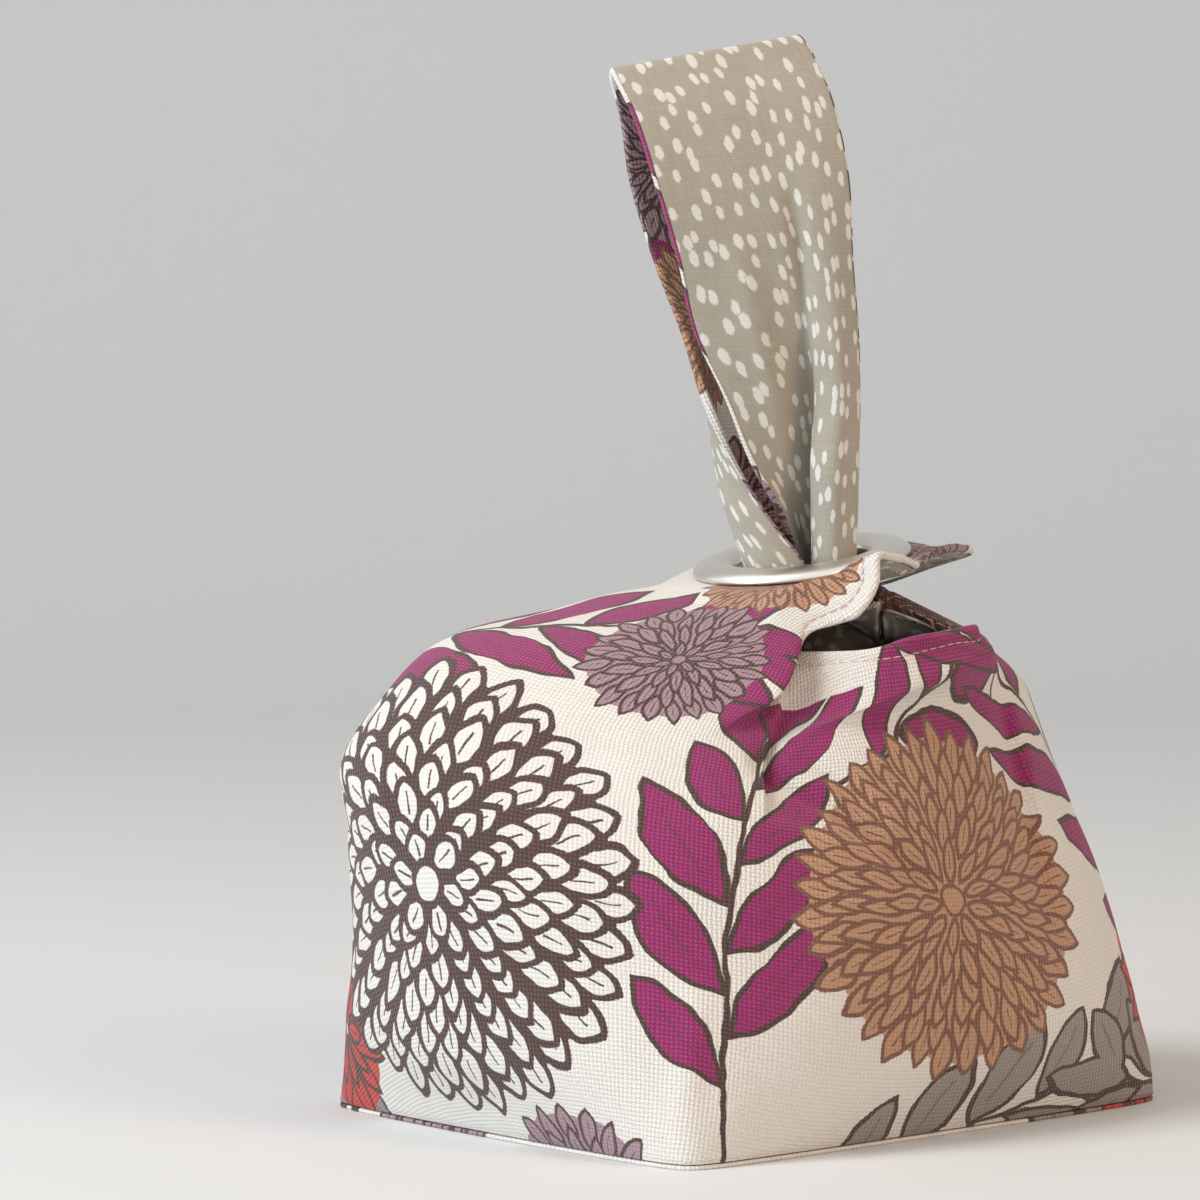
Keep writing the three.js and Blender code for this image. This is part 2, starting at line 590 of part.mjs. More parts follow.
const liningFrom = OUTER_CLOTH + GAP;
addPiece('bottom_panel', bottomPanelGeometry(body), 'print');
addPiece('outer_body', cutForRing(bodyShell(body, bodyNormals, 0, OUTER_CLOTH)), 'print');
addPiece('lining_body', cutForRing(liningShell(body, bodyNormals, liningFrom, liningFrom + LINING_CLOTH)), 'lining');

const strap = strapGrid();
const strapNormals = gridNormals(strap, false);
addPiece('strap_print', strapLayer(strap, strapNormals, GAP / 2, GAP / 2 + OUTER_CLOTH), 'strapPrint');
addPiece('strap_lining', strapLayer(strap, strapNormals, -GAP / 2 - LINING_CLOTH, -GAP / 2), 'lining');

addPiece('ring_upper', upperRingGeometry().applyMatrix4(ringPlace), 'metal');
addPiece('ring_lower', lowerRingGeometry().applyMatrix4(ringPlace), 'metal');

export default bag;
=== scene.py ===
"""A small lined dumpling bag: printed canvas body on a flat bottom, flap with a snap grommet, strap
pulled up through it as a hand loop. Laid out as an add-on whose operators each make one piece."""

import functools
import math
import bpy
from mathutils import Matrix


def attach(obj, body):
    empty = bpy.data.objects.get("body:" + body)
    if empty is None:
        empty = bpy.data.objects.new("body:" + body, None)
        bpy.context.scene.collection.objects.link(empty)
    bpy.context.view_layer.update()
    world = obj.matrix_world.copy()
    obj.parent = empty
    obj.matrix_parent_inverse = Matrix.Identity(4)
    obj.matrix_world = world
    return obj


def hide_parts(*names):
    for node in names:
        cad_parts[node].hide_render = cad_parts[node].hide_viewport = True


bl_info = {
    "name": "Dumpling bag",
    "version": (1, 0, 0),
    "blender": (4, 5, 0),
    "location": "3D View > Sidebar > Dumpling bag",
    "description": "Sews a lined dumpling bag with a grommet and a hand loop",
    "category": "Add Mesh",
}

import bpy
import numpy as np
from mathutils import Vector, noise

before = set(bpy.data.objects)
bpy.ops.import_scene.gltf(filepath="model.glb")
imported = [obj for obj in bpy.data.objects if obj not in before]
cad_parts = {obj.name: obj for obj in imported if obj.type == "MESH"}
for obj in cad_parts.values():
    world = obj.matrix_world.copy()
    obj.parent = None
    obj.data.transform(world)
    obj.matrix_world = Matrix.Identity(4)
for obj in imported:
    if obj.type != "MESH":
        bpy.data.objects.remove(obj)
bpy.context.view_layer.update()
MM = 0.001


def table(columns, *rows):
    """Rows of a table as dictionaries with the named columns."""
    names = columns.split()
    return [dict(zip(names, row)) for row in rows]


# ---------- The bag's own sizes, in millimetres, as the construction has them ----------
GAP = 0.3                 # between two pieces that lie on each other
OUTER_CLOTH = 1.2
LINING_CLOTH = 1.0
BOTTOM_PANEL = 1.2
FOOT_Z = BOTTOM_PANEL + GAP
LINING_FROM = OUTER_CLOTH + GAP
FLAP_THICKNESS = LINING_FROM + LINING_CLOTH
RIGHT_CORNER = np.array([121.0, 5.0])
BACK_CORNER = np.array([19.0, 119.0])
RING = {"x": 15.7, "y": 0.0, "z": 160.5, "rise_x": 0.12, "rise_y": 0.10, "outer": 32.5, "bore": 20.0,
        "sleeve": 1.2, "dome": 3.6, "lower": 2.0, "seat": 0.5, "side": 0.6, "roll": 4.0, "chamfer": 0.2,
        "lip": 0.4, "wall_lip": 0.3}
FLAT_RADIUS = (36.0, 44.0)    # the flap is flat within the first and free past the second
FLAP_FROM_Z = 140.0
HOLE_RADIUS = 24.5
HOLE_FROM_Z = 150.0       # the hole is in the flap, and what lies under it is whole
# Where the print begins on the bottom and the strap, and which way up it is.
BOTTOM_PRINT = {"shift": (70.0, 35.0)}
STRAP_PRINT = {"shift": (-14.0, 323.0), "way": -1.0}

# Level lines round the bag from the bottom seam up. How far each reaches to the left, front, right and
# back is a share of the half diagonal.
LEVELS = table(
    "v z_left z_front z_right z_back left front right back fullness softness",
    (0.00, FOOT_Z, FOOT_Z, FOOT_Z, FOOT_Z, 1.000, 1.000, 1.000, 1.000, 1.03, 0.05),
    (0.05, 9, 9, 9, 9, 0.990, 0.980, 0.995, 0.980, 1.06, 0.10),
    (0.16, 26, 26, 26, 26, 0.975, 0.940, 0.961, 0.940, 1.16, 0.26),
    (0.32, 52, 54, 52, 54, 0.954, 0.875, 0.896, 0.875, 1.30, 0.44),
    (0.50, 84, 80, 84, 80, 0.967, 0.810, 0.807, 0.810, 1.45, 0.54),
    (0.62, 108, 96, 101, 96, 0.975, 0.750, 0.754, 0.750, 1.55, 0.54),
    (0.70, 126, 107, 115, 107, 0.862, 0.685, 0.713, 0.685, 1.65, 0.52),
    (0.76, 138, 116, 124, 116, 0.755, 0.625, 0.682, 0.625, 1.80, 0.50),
)
# Upper lines; "at" runs once round: 0 left, 0.25 front, 0.5 right, 0.75 back.
COLLAR = table(
    "at x y z back_z",
    (0.000, -58, 0, 147, 147), (0.080, -38, -26, 148, 148), (0.140, -14, -42, 146.5, 146.5),
    (0.190, -4, -50, 143, 143), (0.225, 1, -59, 137, 137), (0.250, 8, -67, 127.5, 127.5),
    (0.266, 5, -58, 124.5, 124.5), (0.285, 16, -60, 124.5, 124.5), (0.310, 34, -62, 126, 126),
    (0.350, 55, -51, 131, 131), (0.400, 69, -34, 135, 132), (0.450, 72, -18, 134, 134),
    (0.500, 73, 0, 134, 134),
)
CREST = table(
    "at x y z back_z",
    (0.000, -24, 0, 154.5, 154.5), (0.080, -12, -25, 153.5, 153.5), (0.125, 8, -35, 156, 156),
    (0.155, 20, -39, 161.5, 161.5), (0.190, 17, -41, 159.5, 159.5), (0.225, 12, -46, 152, 152),
    (0.250, 13, -56, 137.5, 137.5), (0.264, 9, -48, 134.5, 134.5), (0.280, 18, -52, 134.5, 134.5),
    (0.305, 33, -56, 136, 136), (0.350, 53, -47, 139, 137.5), (0.400, 67, -32, 141, 135.5),
    (0.450, 64.5, -19, 142, 140.5), (0.500, 64, 0, 141.2, 141.2),
)
# Finished edge: flap tip, flap side, front slit, strap, back slit, flap side.
EDGE = table(
    "at x y z",
    (0.000, 55, 0, 165), (0.090, 43, -35, 166), (0.125, 36.3, -44, 166.8), (0.150, 35.8, -47.5, 159),
    (0.185, 31, -50, 150.5), (0.225, 24, -50, 147), (0.247, 15, -49, 143.3), (0.262, 9.5, -43, 139.2),
    (0.275, 17, -48.5, 139.2), (0.290, 28, -52, 139.8), (0.330, 44, -51.5, 143), (0.365, 55, -43, 144.5),
    (0.400, 65.5, -30, 145.5), (0.430, 54, -22, 144.5), (0.455, 38.5, -20, 150.5), (0.470, 38.3, -16, 143),
    (0.485, 38.2, -9, 141.5), (0.500, 38, -1, 147.5), (0.515, 38, 6, 153.5), (0.530, 38.2, 13, 153.8),
    (0.545, 38.5, 20, 150.5), (0.570, 54, 23, 143.5), (0.600, 65, 30, 139.8), (0.635, 58, 43, 141),
    (0.670, 48, 51, 142), (0.715, 36, 53, 141), (0.738, 28, 50, 142), (0.752, 27, 48, 145),
    (0.775, 34, 50, 149), (0.815, 46, 50, 153), (0.845, 58, 49, 158), (0.875, 68.6, 44, 162.5),
    (0.910, 65, 33, 164.5),
)
UPPER_V = {"collar": 0.86, "crest": 0.94, "edge": 1.00}
FLAP_SIDES = (0.262, 0.738)
SEAM_AT = 0.75
FRONT_AT = 1.25           # the front corner, counted on from the seam
# How many columns of the cloth stand up to each place round the bag, starting at the back seam.
COLUMN_SPANS = table(
    "to columns",
    (0.875, 22), (1.000, 24), (1.090, 26), (1.240, 66), (1.290, 56), (1.400, 50), (1.455, 30), (1.545, 24),
    (1.600, 14), (1.710, 24), (1.750, 16),
)
ROWS = (0, 0.06, 0.18, 0.34, 0.50, 0.62, 0.70, 0.78, 0.84, 0.88, 0.915, 0.94, 0.958, 0.975, 0.988, 1)
ROW_STEPS = 6             # rows of the fine cloth to each of these
DENSE_STEPS = 14          # rows that the fine cloth's are picked from
HEM_STEP = 0.4            # from row to row in the hem
HEM_ROWS = 20
HEM_ROOM = HEM_STEP * HEM_ROWS
HEM_DRAWN = {"depth": 0.4, "width": 0.9}     # how the topstitch draws the hem in
STITCH_LIFT = 0.1         # height of a stitch's middle over the cloth, as a share of the thread
# The lining's floor: rows from its middle to its edge, which turns up into the sides.
FLOOR_ROWS = table(
    "share z down",
    (0.0, 0, 1), (0.3, 0, 1), (0.6, 0, 1), (0.85, 0, 1), (0.97, 0, 1), (0.99, 0.35, 0.75), (0.998, 1.4, 0.25),
)
FLOOR_REACH = 90.0        # from its middle to its edge on the flat cloth
# Rows of the bottom panel from its middle to its edge, closer together at its rounded rim.
BOTTOM_ROWS = np.concatenate([[1e-3], np.linspace(0.15, 0.9, 8), np.linspace(0.93, 1.0, 4)])

# Main creases, each pressed along a line of points. A trough sinks both sides, and a ridge is a trough
# of less than no depth. A step sinks the side to the right of the line and fades over "fade".
CREASES = table(
    "kind width depth fade line",
    ("trough", 3.4, 3.6, None,
     [(6, -61, 122), (2, -71, 117), (1, -75, 112), (6, -79, 107), (15, -80, 102), (26, -79, 95),
      (36, -77, 87)]),
    ("trough", 3.0, 2.2, None, [(12, -73, 112), (21, -74, 107), (30, -74, 100), (38, -73, 92)]),
    ("trough", 3.2, 1.6, None, [(4, -82, 101), (12, -83, 97), (20, -83, 90)]),
    ("trough", 3.5, 2.4, None, [(22, -80, 98), (36, -77, 87), (46, -73, 77), (54, -69, 66)]),
    ("step", 3.2, 4.9, 11,
     [(2, -86, 93), (3, -80, 103), (3, -74, 112), (5, -67, 119), (8, -59, 127), (10, -52, 135)]),
    ("trough", 3.0, -1.5, None,
     [(13, -51, 137), (10, -53, 130), (6, -60, 123), (1, -70, 116), (-3, -77, 108)]),
    ("trough", 5.0, 1.6, None, [(-34, -66, 124), (-19, -64, 128), (-8, -68, 125), (-1, -74, 115)]),
    ("trough", 5.0, -1.4, None,
     [(-19, -118, 3), (-20, -115, 14), (-19, -111, 28), (-17, -105, 44), (-14, -98, 62)]),
    ("step", 7.0, 4.5, 30,
     [(77, -14, 128), (77, -19, 116), (81, -24, 98), (85, -29, 82), (88, -33, 66), (89, -38, 52)]),
)
CREASE_TAPER = 0.6        # how slowly a crease's ends run out; 1 is a sine
# Unevenness of handled cloth: broad and fine waves, and the share of the fine ones.
WAVES = {"broad": 0.022, "fine": 0.06, "share": 0.4}
BODY_UNEVEN = 1.5
STRAP_UNEVEN = 0.5
STILL_FOOT = 30.0         # the unevenness grows over this height from the foot
STILL_FROM_Z = 128.0      # and dies away under the flap, over the next
STILL_OVER = 12.0

# Strap sections, from the root up as the far strand, over the top and down as the near strand.
STRAP_SECTIONS = table(
    "z rise crown left curl bend back fan right",
    (147.0, 0.5, -2, (27, -17.5), (25.5, -14), (24, -7), (24, 2), (25, 10), (28, 17)),
    (149.0, 1.5, -2, (18, -15), (11, -13), (5, -6.5), (5, 4), (14, 12), (27, 14)),
    (161, 0, 0, (16.3, -14.5), (7, -15.3), (0, -7.5), (1, 5), (14, 12.5), (31.4, 8)),
    (176, 0, 0, (5, -15), (-3, -13), (-6, -4), (-1, 8), (13, 13), (33, 9)),
    (192, 0, 0, (-5, -8), (-9, -5), (-9, 1), (-1, 10), (12, 14), (30, 12)),
    (210, 0, 0, (-13, -2), (-12, 1), (-9, 5), (0, 12), (13, 16), (28, 15)),
    (230, 0, 0, (-20, 2), (-15, 5), (-9, 8), (1, 13), (13, 17), (26, 19)),
    (250, 0, 0, (-28, 2), (-19, 6), (-10, 9), (1, 14), (12, 18), (24, 22)),
    (272, 2, 0, (-35, 0), (-24, 5), (-13, 10), (-2, 14), (9, 18), (20, 22)),
    (291, 5, 0, (-38, -4), (-27, 1), (-16, 6), (-5, 10), (6, 14), (17, 18)),
    (302, 8, 0, (-41, -9), (-29.5, -4.5), (-18, 0), (-7, 4), (4, 8.5), (14.5, 13)),
    (305.5, 10, 0, (-41, -13), (-29, -9), (-17.5, -4.5), (-6.5, 0), (4.5, 4), (15, 8)),
    (302, 8, 0, (-39, -17), (-27, -12.5), (-15, -8), (-3, -3), (8.5, 1), (19, 5)),
    (291, 5, 0, (-34, -22), (-21, -18), (-8, -14), (4, -10), (14.5, -7), (24.5, -3)),
    (272, 2, 0, (-28, -25), (-15, -21), (-2, -18), (9, -15), (19, -13), (28.7, -9)),
    (250, 0, 0, (-21.5, -24), (-8, -21), (6, -17), (16, -16), (23, -15.5), (29.6, -11)),
    (230, 0, 0, (-17, -22), (-2, -20), (12, -14), (19, -16), (25, -17), (31, -11)),
    (210, 0, 0, (-7.5, -20), (5, -16), (16.5, -8), (20.3, -15), (26, -18), (31.4, -11)),
    (192, 0, 0, (0, -17), (8.5, -11), (19, -3.8), (18.8, -14.3), (25, -19), (31.4, -11)),
    (176, 0, 0, (9, -12), (14, -3.5), (22.5, -0.5), (18.7, -11.5), (24.5, -17), (31.4, -9.5)),
    (161, 0, 0, (13.5, -5), (17, 2.5), (25.5, 1), (19.3, -8.5), (24, -14.8), (30.8, -8)),
    (155, 0, 0, (13.5, -3), (18, 3.5), (25.5, 1), (20, -7.5), (24.5, -13), (30.5, -7)),
)
STRAP_CREASES = table(
    "kind width depth fade line",
    ("trough", 2.4, -3.4, None,
     [(11.5, -17, 274), (13.5, -16, 255), (16, -14, 235), (18, -10, 213), (20, -5.5, 192)]),
    ("trough", 4.0, 1.6, None, [(-5, -19, 258), (0, -19, 236), (5, -16, 216), (9, -11, 196), (13, -5, 178)]),
)
ACROSS = ("left", "curl", "bend", "back", "fan", "right")
STRAP_WIDTH = 60.0
STRAP_COLUMNS = 44
STRAP_STEPS = 9           # steps of the fine cloth between two sections
STRAP_ROOT = {"from": 0.455, "to": 0.545, "gap": 1.3}   # places on the body's edge
# The canvas is turned in round the lining's edge. A nose is how far the turn stands past the canvas's
# last row, and an inset is how much further in the lining stops.
NOSE = 1.3
LINING_INSET = 1.0
STRAP_NOSE = 0.7
STRAP_INSET = 0.35
NOSE_STEPS = 6
NOSE_SLACK = 0.1          # the turn's two faces end this far past the lining's face and short of it
NOSE_RISE = 0.25          # how far its inner face rises on the way
ROOT_NOSE = {"share": 0.25, "over": 0.012}   # the turn is slight along the strap's root


# ---------- What a user would change ----------
def millimetres(name, description, default):
    return bpy.props.FloatProperty(name=name, description=description, default=default, min=0.01)


def colour(name, description, default):
    return bpy.props.FloatVectorProperty(name=name, description=description, default=default, size=3,
                                         subtype="COLOR", min=0.0, max=1.0)


def srgb(*channels):
    """A colour given from 0 to 255, as the linear values that shaders use."""
    shares = [channel / 255 for channel in channels]
    return tuple(c / 12.92 if c <= 0.04045 else ((c + 0.055) / 1.055) ** 2.4 for c in shares)


class BagSizes(bpy.types.PropertyGroup):
    """Sizes of the cloth, thread and grommet, in millimetres"""
    canvas_pitch: millimetres("Canvas pitch", "Distance between neighbouring canvas threads", 1.25)
    linen_pitch: millimetres("Linen pitch", "Distance between neighbouring linen threads", 0.62)
    hem: millimetres("Hem", "Distance of the topstitch from a finished edge", 4.4)
    stitch_pitch: millimetres("Stitch pitch", "Distance from one stitch to the next", 3.2)
    stitch_length: millimetres("Stitch length", "Length of thread that shows in one stitch", 2.6)
    thread: millimetres("Thread", "Thickness of the sewing thread", 0.42)
    outline: millimetres("Outline", "Width of the lines drawn round the leaves", 1.9)
    dot: millimetres("Dot", "Half width of the lining's dots", 0.95)


class BagColours(bpy.types.PropertyGroup):
    """Colours of the print, the lining, the thread and the grommet"""
    cream: colour("Cream", "Ground of the canvas", srgb(246, 238, 228))
    ink: colour("Ink", "Drawn lines", srgb(84, 60, 55))
    plum: colour("Plum", "Plum leaves", srgb(158, 40, 106))
    tan: colour("Tan", "Tan blooms", srgb(202, 155, 121))
    tan_ink: colour("Tan line", "Lines on the tan blooms", srgb(136, 93, 76))
    grey: colour("Grey", "Grey leaves", srgb(163, 152, 145))
    coral: colour("Coral", "Coral blooms", srgb(214, 66, 58))
    mauve: colour("Mauve", "Mauve blooms", srgb(176, 142, 152))
    linen: colour("Linen", "Ground of the lining", srgb(196, 188, 174))
    dots: colour("Dots", "Dots on the lining", srgb(244, 239, 231))
    thread: colour("Thread", "Sewing thread", srgb(222, 190, 182))
    metal: colour("Metal", "Snap grommet", srgb(232, 226, 218))


# ---------- Curves and surfaces ----------
def smooth_through(stations, points, places):
    """Points at the given places on the smooth curve through points at rising stations."""
    stations = np.asarray(stations, float)
    points = np.asarray(points, float)
    places = np.asarray(places, float)
    spread = (-1,) + (1,) * (points.ndim - 1)
    steps = np.diff(stations)
    chords = np.diff(points, axis=0) / steps.reshape(spread)
    before, after = steps[:-1].reshape(spread), steps[1:].reshape(spread)
    inner = (chords[:-1] * after + chords[1:] * before) / (before + after)
    slopes = np.concatenate([chords[:1], inner, chords[-1:]])
    i = np.clip(np.searchsorted(stations, places, side="right") - 1, 0, len(steps) - 1)
    step = steps[i].reshape(spread)
    t = (places - stations[i]).reshape(spread) / step
    return (points[i] * (2 * t**3 - 3 * t**2 + 1) + slopes[i] * (t**3 - 2 * t**2 + t) * step
            + points[i + 1] * (3 * t**2 - 2 * t**3) + slopes[i + 1] * (t**3 - t**2) * step)


def smooth_step(x):
    """0 up to 0 and 1 from 1 on, with a soft start and end."""
    x = np.clip(x, 0, 1)
    return x * x * (3 - 2 * x)


def level_points(level, at):
    """Points of a level line round the bag."""
    across, along = -np.cos(2 * math.pi * at), -np.sin(2 * math.pi * at)
    n, soft = level["fullness"], level["softness"]

    def rounded(x):
        return np.hypot(x, soft) ** n

    radius = ((rounded(1.0) + rounded(0.0)) / (rounded(across) + rounded(along))) ** (1 / n)
    a = across * radius * np.where(across < 0, level["left"], level["right"])
    b = along * radius * np.where(along < 0, level["front"], level["back"])
    z_side = np.where(across < 0, level["z_left"], level["z_right"])
    z_face = np.where(along < 0, level["z_front"], level["z_back"])
    plan = RIGHT_CORNER * a[:, None] + BACK_CORNER * b[:, None]
    return np.column_stack([plan, z_side * across**2 + z_face * along**2])


def upper_line(knots, mirrored, at):
    """Points of an upper line, which closes smoothly on itself."""
    round_bag = [(k["at"], (k["x"], k["y"], k["z"])) for k in knots]
    if mirrored:
        round_bag += [(1 - k["at"], (k["x"], -k["y"], k["back_z"])) for k in knots[-2:0:-1]]
    before = [(place - 1, point) for place, point in round_bag[-2:]]
    after = [(place + 1, point) for place, point in round_bag[:2]]
    stations, points = zip(*(before + round_bag + after))
    return smooth_through(stations, points, at)


def held_flat(points):
    """The grommet holds the flap flat round itself."""
    x, y = points[..., 0] - RING["x"], points[..., 1] - RING["y"]
    inner, outer = FLAT_RADIUS
    hold = smooth_step((outer - np.hypot(x, y)) / (outer - inner)) * (points[..., 2] >= FLAP_FROM_Z)
    plane = RING["z"] + RING["rise_x"] * x + RING["rise_y"] * y
    points[..., 2] += (plane - points[..., 2]) * hold
    return points


def body_grid(places, rows):
    """The bag's outer face as columns of points, before creases."""
    at = np.asarray(places) % 1.0
    lines = [level_points(level, at) for level in LEVELS]
    lines += [upper_line(COLLAR, True, at), upper_line(CREST, True, at), upper_line(EDGE, False, at)]
    stations = [level["v"] for level in LEVELS] + list(UPPER_V.values())
    grid = smooth_through(stations, lines, rows).transpose(1, 0, 2)
    on_flap = (at < FLAP_SIDES[0]) | (at > FLAP_SIDES[1])
    grid[on_flap] = held_flat(grid[on_flap])
    return grid


def column_places():
    """Places of the columns once round the bag, the seam's column at both ends."""
    places, start = [], SEAM_AT
    for span in COLUMN_SPANS:
        places += list(np.linspace(start, span["to"], span["columns"], endpoint=False))
        start = span["to"]
    return np.array(places + [start])


def row_places(steps):
    """Places of the rows up a column, with this many to each of the main ones."""
    spans = [np.linspace(a, b, steps, endpoint=False) for a, b in zip(ROWS, ROWS[1:])]
    return np.concatenate(spans + [[1.0]])


def along_columns(grid):
    """How far along its column each point lies."""
    lengths = np.linalg.norm(np.diff(grid, axis=1), axis=2)
    return np.concatenate([np.zeros((len(grid), 1)), np.cumsum(lengths, axis=1)], axis=1)


def moved_along(grid, here, there):
    """The points of each column at new distances along it."""
    return np.stack([np.column_stack([np.interp(t, h, column[:, k]) for k in range(column.shape[1])])
                     for column, h, t in zip(grid, here, there)])


def hem_rows(dense, rows, row_steps):
    """Each column's points spread anew: as before up to the hem, and evenly in the hem."""
    here = along_columns(dense)
    length = here[:, -1:]
    body = np.stack([np.interp(row_places(row_steps), rows, h) for h in here]) * (length - HEM_ROOM) / length
    there = np.concatenate([body, length - HEM_ROOM + HEM_STEP * np.arange(1, HEM_ROWS + 1)], axis=1)
    heights = np.broadcast_to(rows[None, :, None], (*here.shape, 1))
    return moved_along(dense, here, there), moved_along(heights, here, there)[..., 0]


def shifted(values, axis, step, closed):
    """Each point's neighbour in the grid; at a free edge the point itself."""
    moved = np.roll(values, -step, axis=axis)
    if axis == 1 or not closed:
        edge = [slice(None)] * values.ndim
        edge[axis] = -1 if step > 0 else 0
        moved[tuple(edge)] = values[tuple(edge)]
    return moved


def unit(vectors):
    """The vectors at length 1."""
    return vectors / np.linalg.norm(vectors, axis=-1, keepdims=True)


def facing(grid, closed):
    """The way that each point of a grid faces, as vectors of any length."""
    across = shifted(grid, 0, 1, closed) - shifted(grid, 0, -1, closed)
    along = shifted(grid, 1, 1, closed) - shifted(grid, 1, -1, closed)
    return np.cross(across, along)


def grid_normals(grid, closed):
    """Unit normals of a grid of points, to the outside of the body or the printed side of the strap."""
    return unit(facing(grid, closed))


NEIGHBOURS = [(axis, step) for axis in (0, 1) for step in (1, -1)]


def eased(values, grid, closed, reach=2.5, passes=60):
    """Values averaged with those of the points close by."""
    steps = [np.linalg.norm(shifted(grid, *way, closed) - grid, axis=2, keepdims=True) for way in NEIGHBOURS]
    weights = [np.exp(-((step / reach) ** 2)) for step in steps]
    total = 1 + sum(weights)
    for _ in range(passes):
        near = sum(w * shifted(values, *way, closed) for w, way in zip(weights, NEIGHBOURS))
        values = (values + near) / total
    return values


def soft_normals(grid, closed):
    """Normals that turn slowly, so that a layer under a tight fold does not cross itself."""
    return unit(eased(grid_normals(grid, closed), grid, closed))


def unfolded(points, normals, closed, passes=30):
    """A layer of cloth with the places smoothed where it would fold over itself."""
    for _ in range(passes):
        folded = (facing(points, closed) * normals).sum(2) <= 0
        if not folded.any():
            break
        for axis in (0, 1):
            folded = folded | shifted(folded, axis, 1, closed) | shifted(folded, axis, -1, closed)
        mean = sum(shifted(points, *way, closed) for way in NEIGHBOURS) / 4
        points = np.where(folded[..., None], mean, points)
    return points


def nearest_on_line(points, line, normals, pieces=32):
    """Distance from points to a smooth line, the place along it from 0 to 1, and the side."""
    places = np.linspace(0, 1, pieces + 1)
    path = smooth_through(np.linspace(0, 1, len(line)), line, places)
    best = np.full(len(points), np.inf)
    along = np.zeros(len(points))
    side = np.zeros(len(points))
    for i in range(pieces):
        step = path[i + 1] - path[i]
        offset = points - path[i]
        t = np.clip(offset @ step / (step @ step), 0, 1)
        away = offset - t[:, None] * step
        distance = np.linalg.norm(away, axis=1)
        nearer = distance < best
        best[nearer] = distance[nearer]
        along[nearer] = places[i] + t[nearer] / pieces
        side[nearer] = -np.sign((away * np.cross(normals, step)).sum(1))[nearer]
    return best, along, side


def pressed(grid, closed, creases, unevenness):
    """The grid with its creases pressed in and the slight unevenness of handled cloth."""
    points = grid.reshape(-1, 3)
    normals = soft_normals(grid, closed).reshape(-1, 3)
    depth = np.zeros(len(points))
    for crease in creases:
        distance, along, side = nearest_on_line(points, crease["line"], normals)
        taper = np.sin(math.pi * np.clip(along, 0.0, 1.0)) ** CREASE_TAPER
        if crease["kind"] == "trough":
            depth += crease["depth"] * np.exp(-((distance / crease["width"]) ** 2)) * taper
        else:
            over = distance * side
            depth += (crease["depth"] * taper * smooth_step(over / crease["width"] + 0.5)
                      * np.exp(-np.maximum(over, 0) / crease["fade"]))
    broad, fine, share = WAVES["broad"], WAVES["fine"], WAVES["share"]
    wave = np.array([noise.noise(Vector(p) * broad) + share * noise.noise(Vector(p) * fine) for p in points])
    free = smooth_step((points[:, 2] - FOOT_Z) / STILL_FOOT)
    if closed:
        free *= 1 - smooth_step((points[:, 2] - STILL_FROM_Z) / STILL_OVER)
    depth += unevenness * wave * free
    return (points - normals * depth[:, None]).reshape(grid.shape)


def strap_root(across):
    """The body's edge between the slits, at the depth where the strap's two layers meet."""
    places = STRAP_ROOT["from"] + (STRAP_ROOT["to"] - STRAP_ROOT["from"]) * across
    edge = body_grid(places, np.array([0.98, 1.0]))
    onward = unit(edge[:, 1] - edge[:, 0]) * STRAP_ROOT["gap"]
    return edge[:, 1] + onward - grid_normals(edge, False)[:, 1] * (OUTER_CLOTH + GAP / 2)


def strap_grid(inset):
    """Columns of points across the strap, each from the root to the sewn end."""
    knot_places = np.linspace(0, 1, len(ACROSS))
    across = np.linspace(inset / STRAP_WIDTH, 1 - inset / STRAP_WIDTH, STRAP_COLUMNS + 1)
    sections = [strap_root(across)]
    for section in STRAP_SECTIONS:
        crown = section["crown"] * np.sin(math.pi * knot_places)
        heights = section["z"] + section["rise"] * knot_places + crown
        knots = [(*section[name], z) for name, z in zip(ACROSS, heights)]
        sections.append(smooth_through(knot_places, knots, across))
    stations = np.arange(len(sections))
    fine = np.linspace(0, stations[-1], stations[-1] * STRAP_STEPS + 1)
    return smooth_through(stations, sections, fine).transpose(1, 0, 2)


def nosed(outer, inner, flat, reach):
    """Both faces of the canvas carried on round the lining's edge, at the end of every column."""
    across = unit(outer[:, -1] - inner[:, -1])
    onward = unit(outer[:, -1] - outer[:, -3])
    flat_onward = unit(flat[:, -1] - flat[:, -3])
    radius = (FLAP_THICKNESS + NOSE_SLACK) / 2
    middle = outer[:, -1] - across * radius
    drop = FLAP_THICKNESS - NOSE_SLACK - OUTER_CLOTH
    outer_rows, inner_rows, flat_rows = [outer], [inner], [flat]
    for share in np.arange(1, NOSE_STEPS + 1) / NOSE_STEPS:
        turn = math.pi * share
        round_edge = across * radius * math.cos(turn) + onward * (reach * math.sin(turn))[:, None]
        within_edge = inner[:, -1] + (onward * NOSE_RISE - across * drop) * share
        outer_rows.append((middle + round_edge)[:, None])
        inner_rows.append(within_edge[:, None])
        flat_rows.append((flat[:, -1] + flat_onward * radius * turn)[:, None])
    return tuple(np.concatenate(rows, axis=1) for rows in (outer_rows, inner_rows, flat_rows))


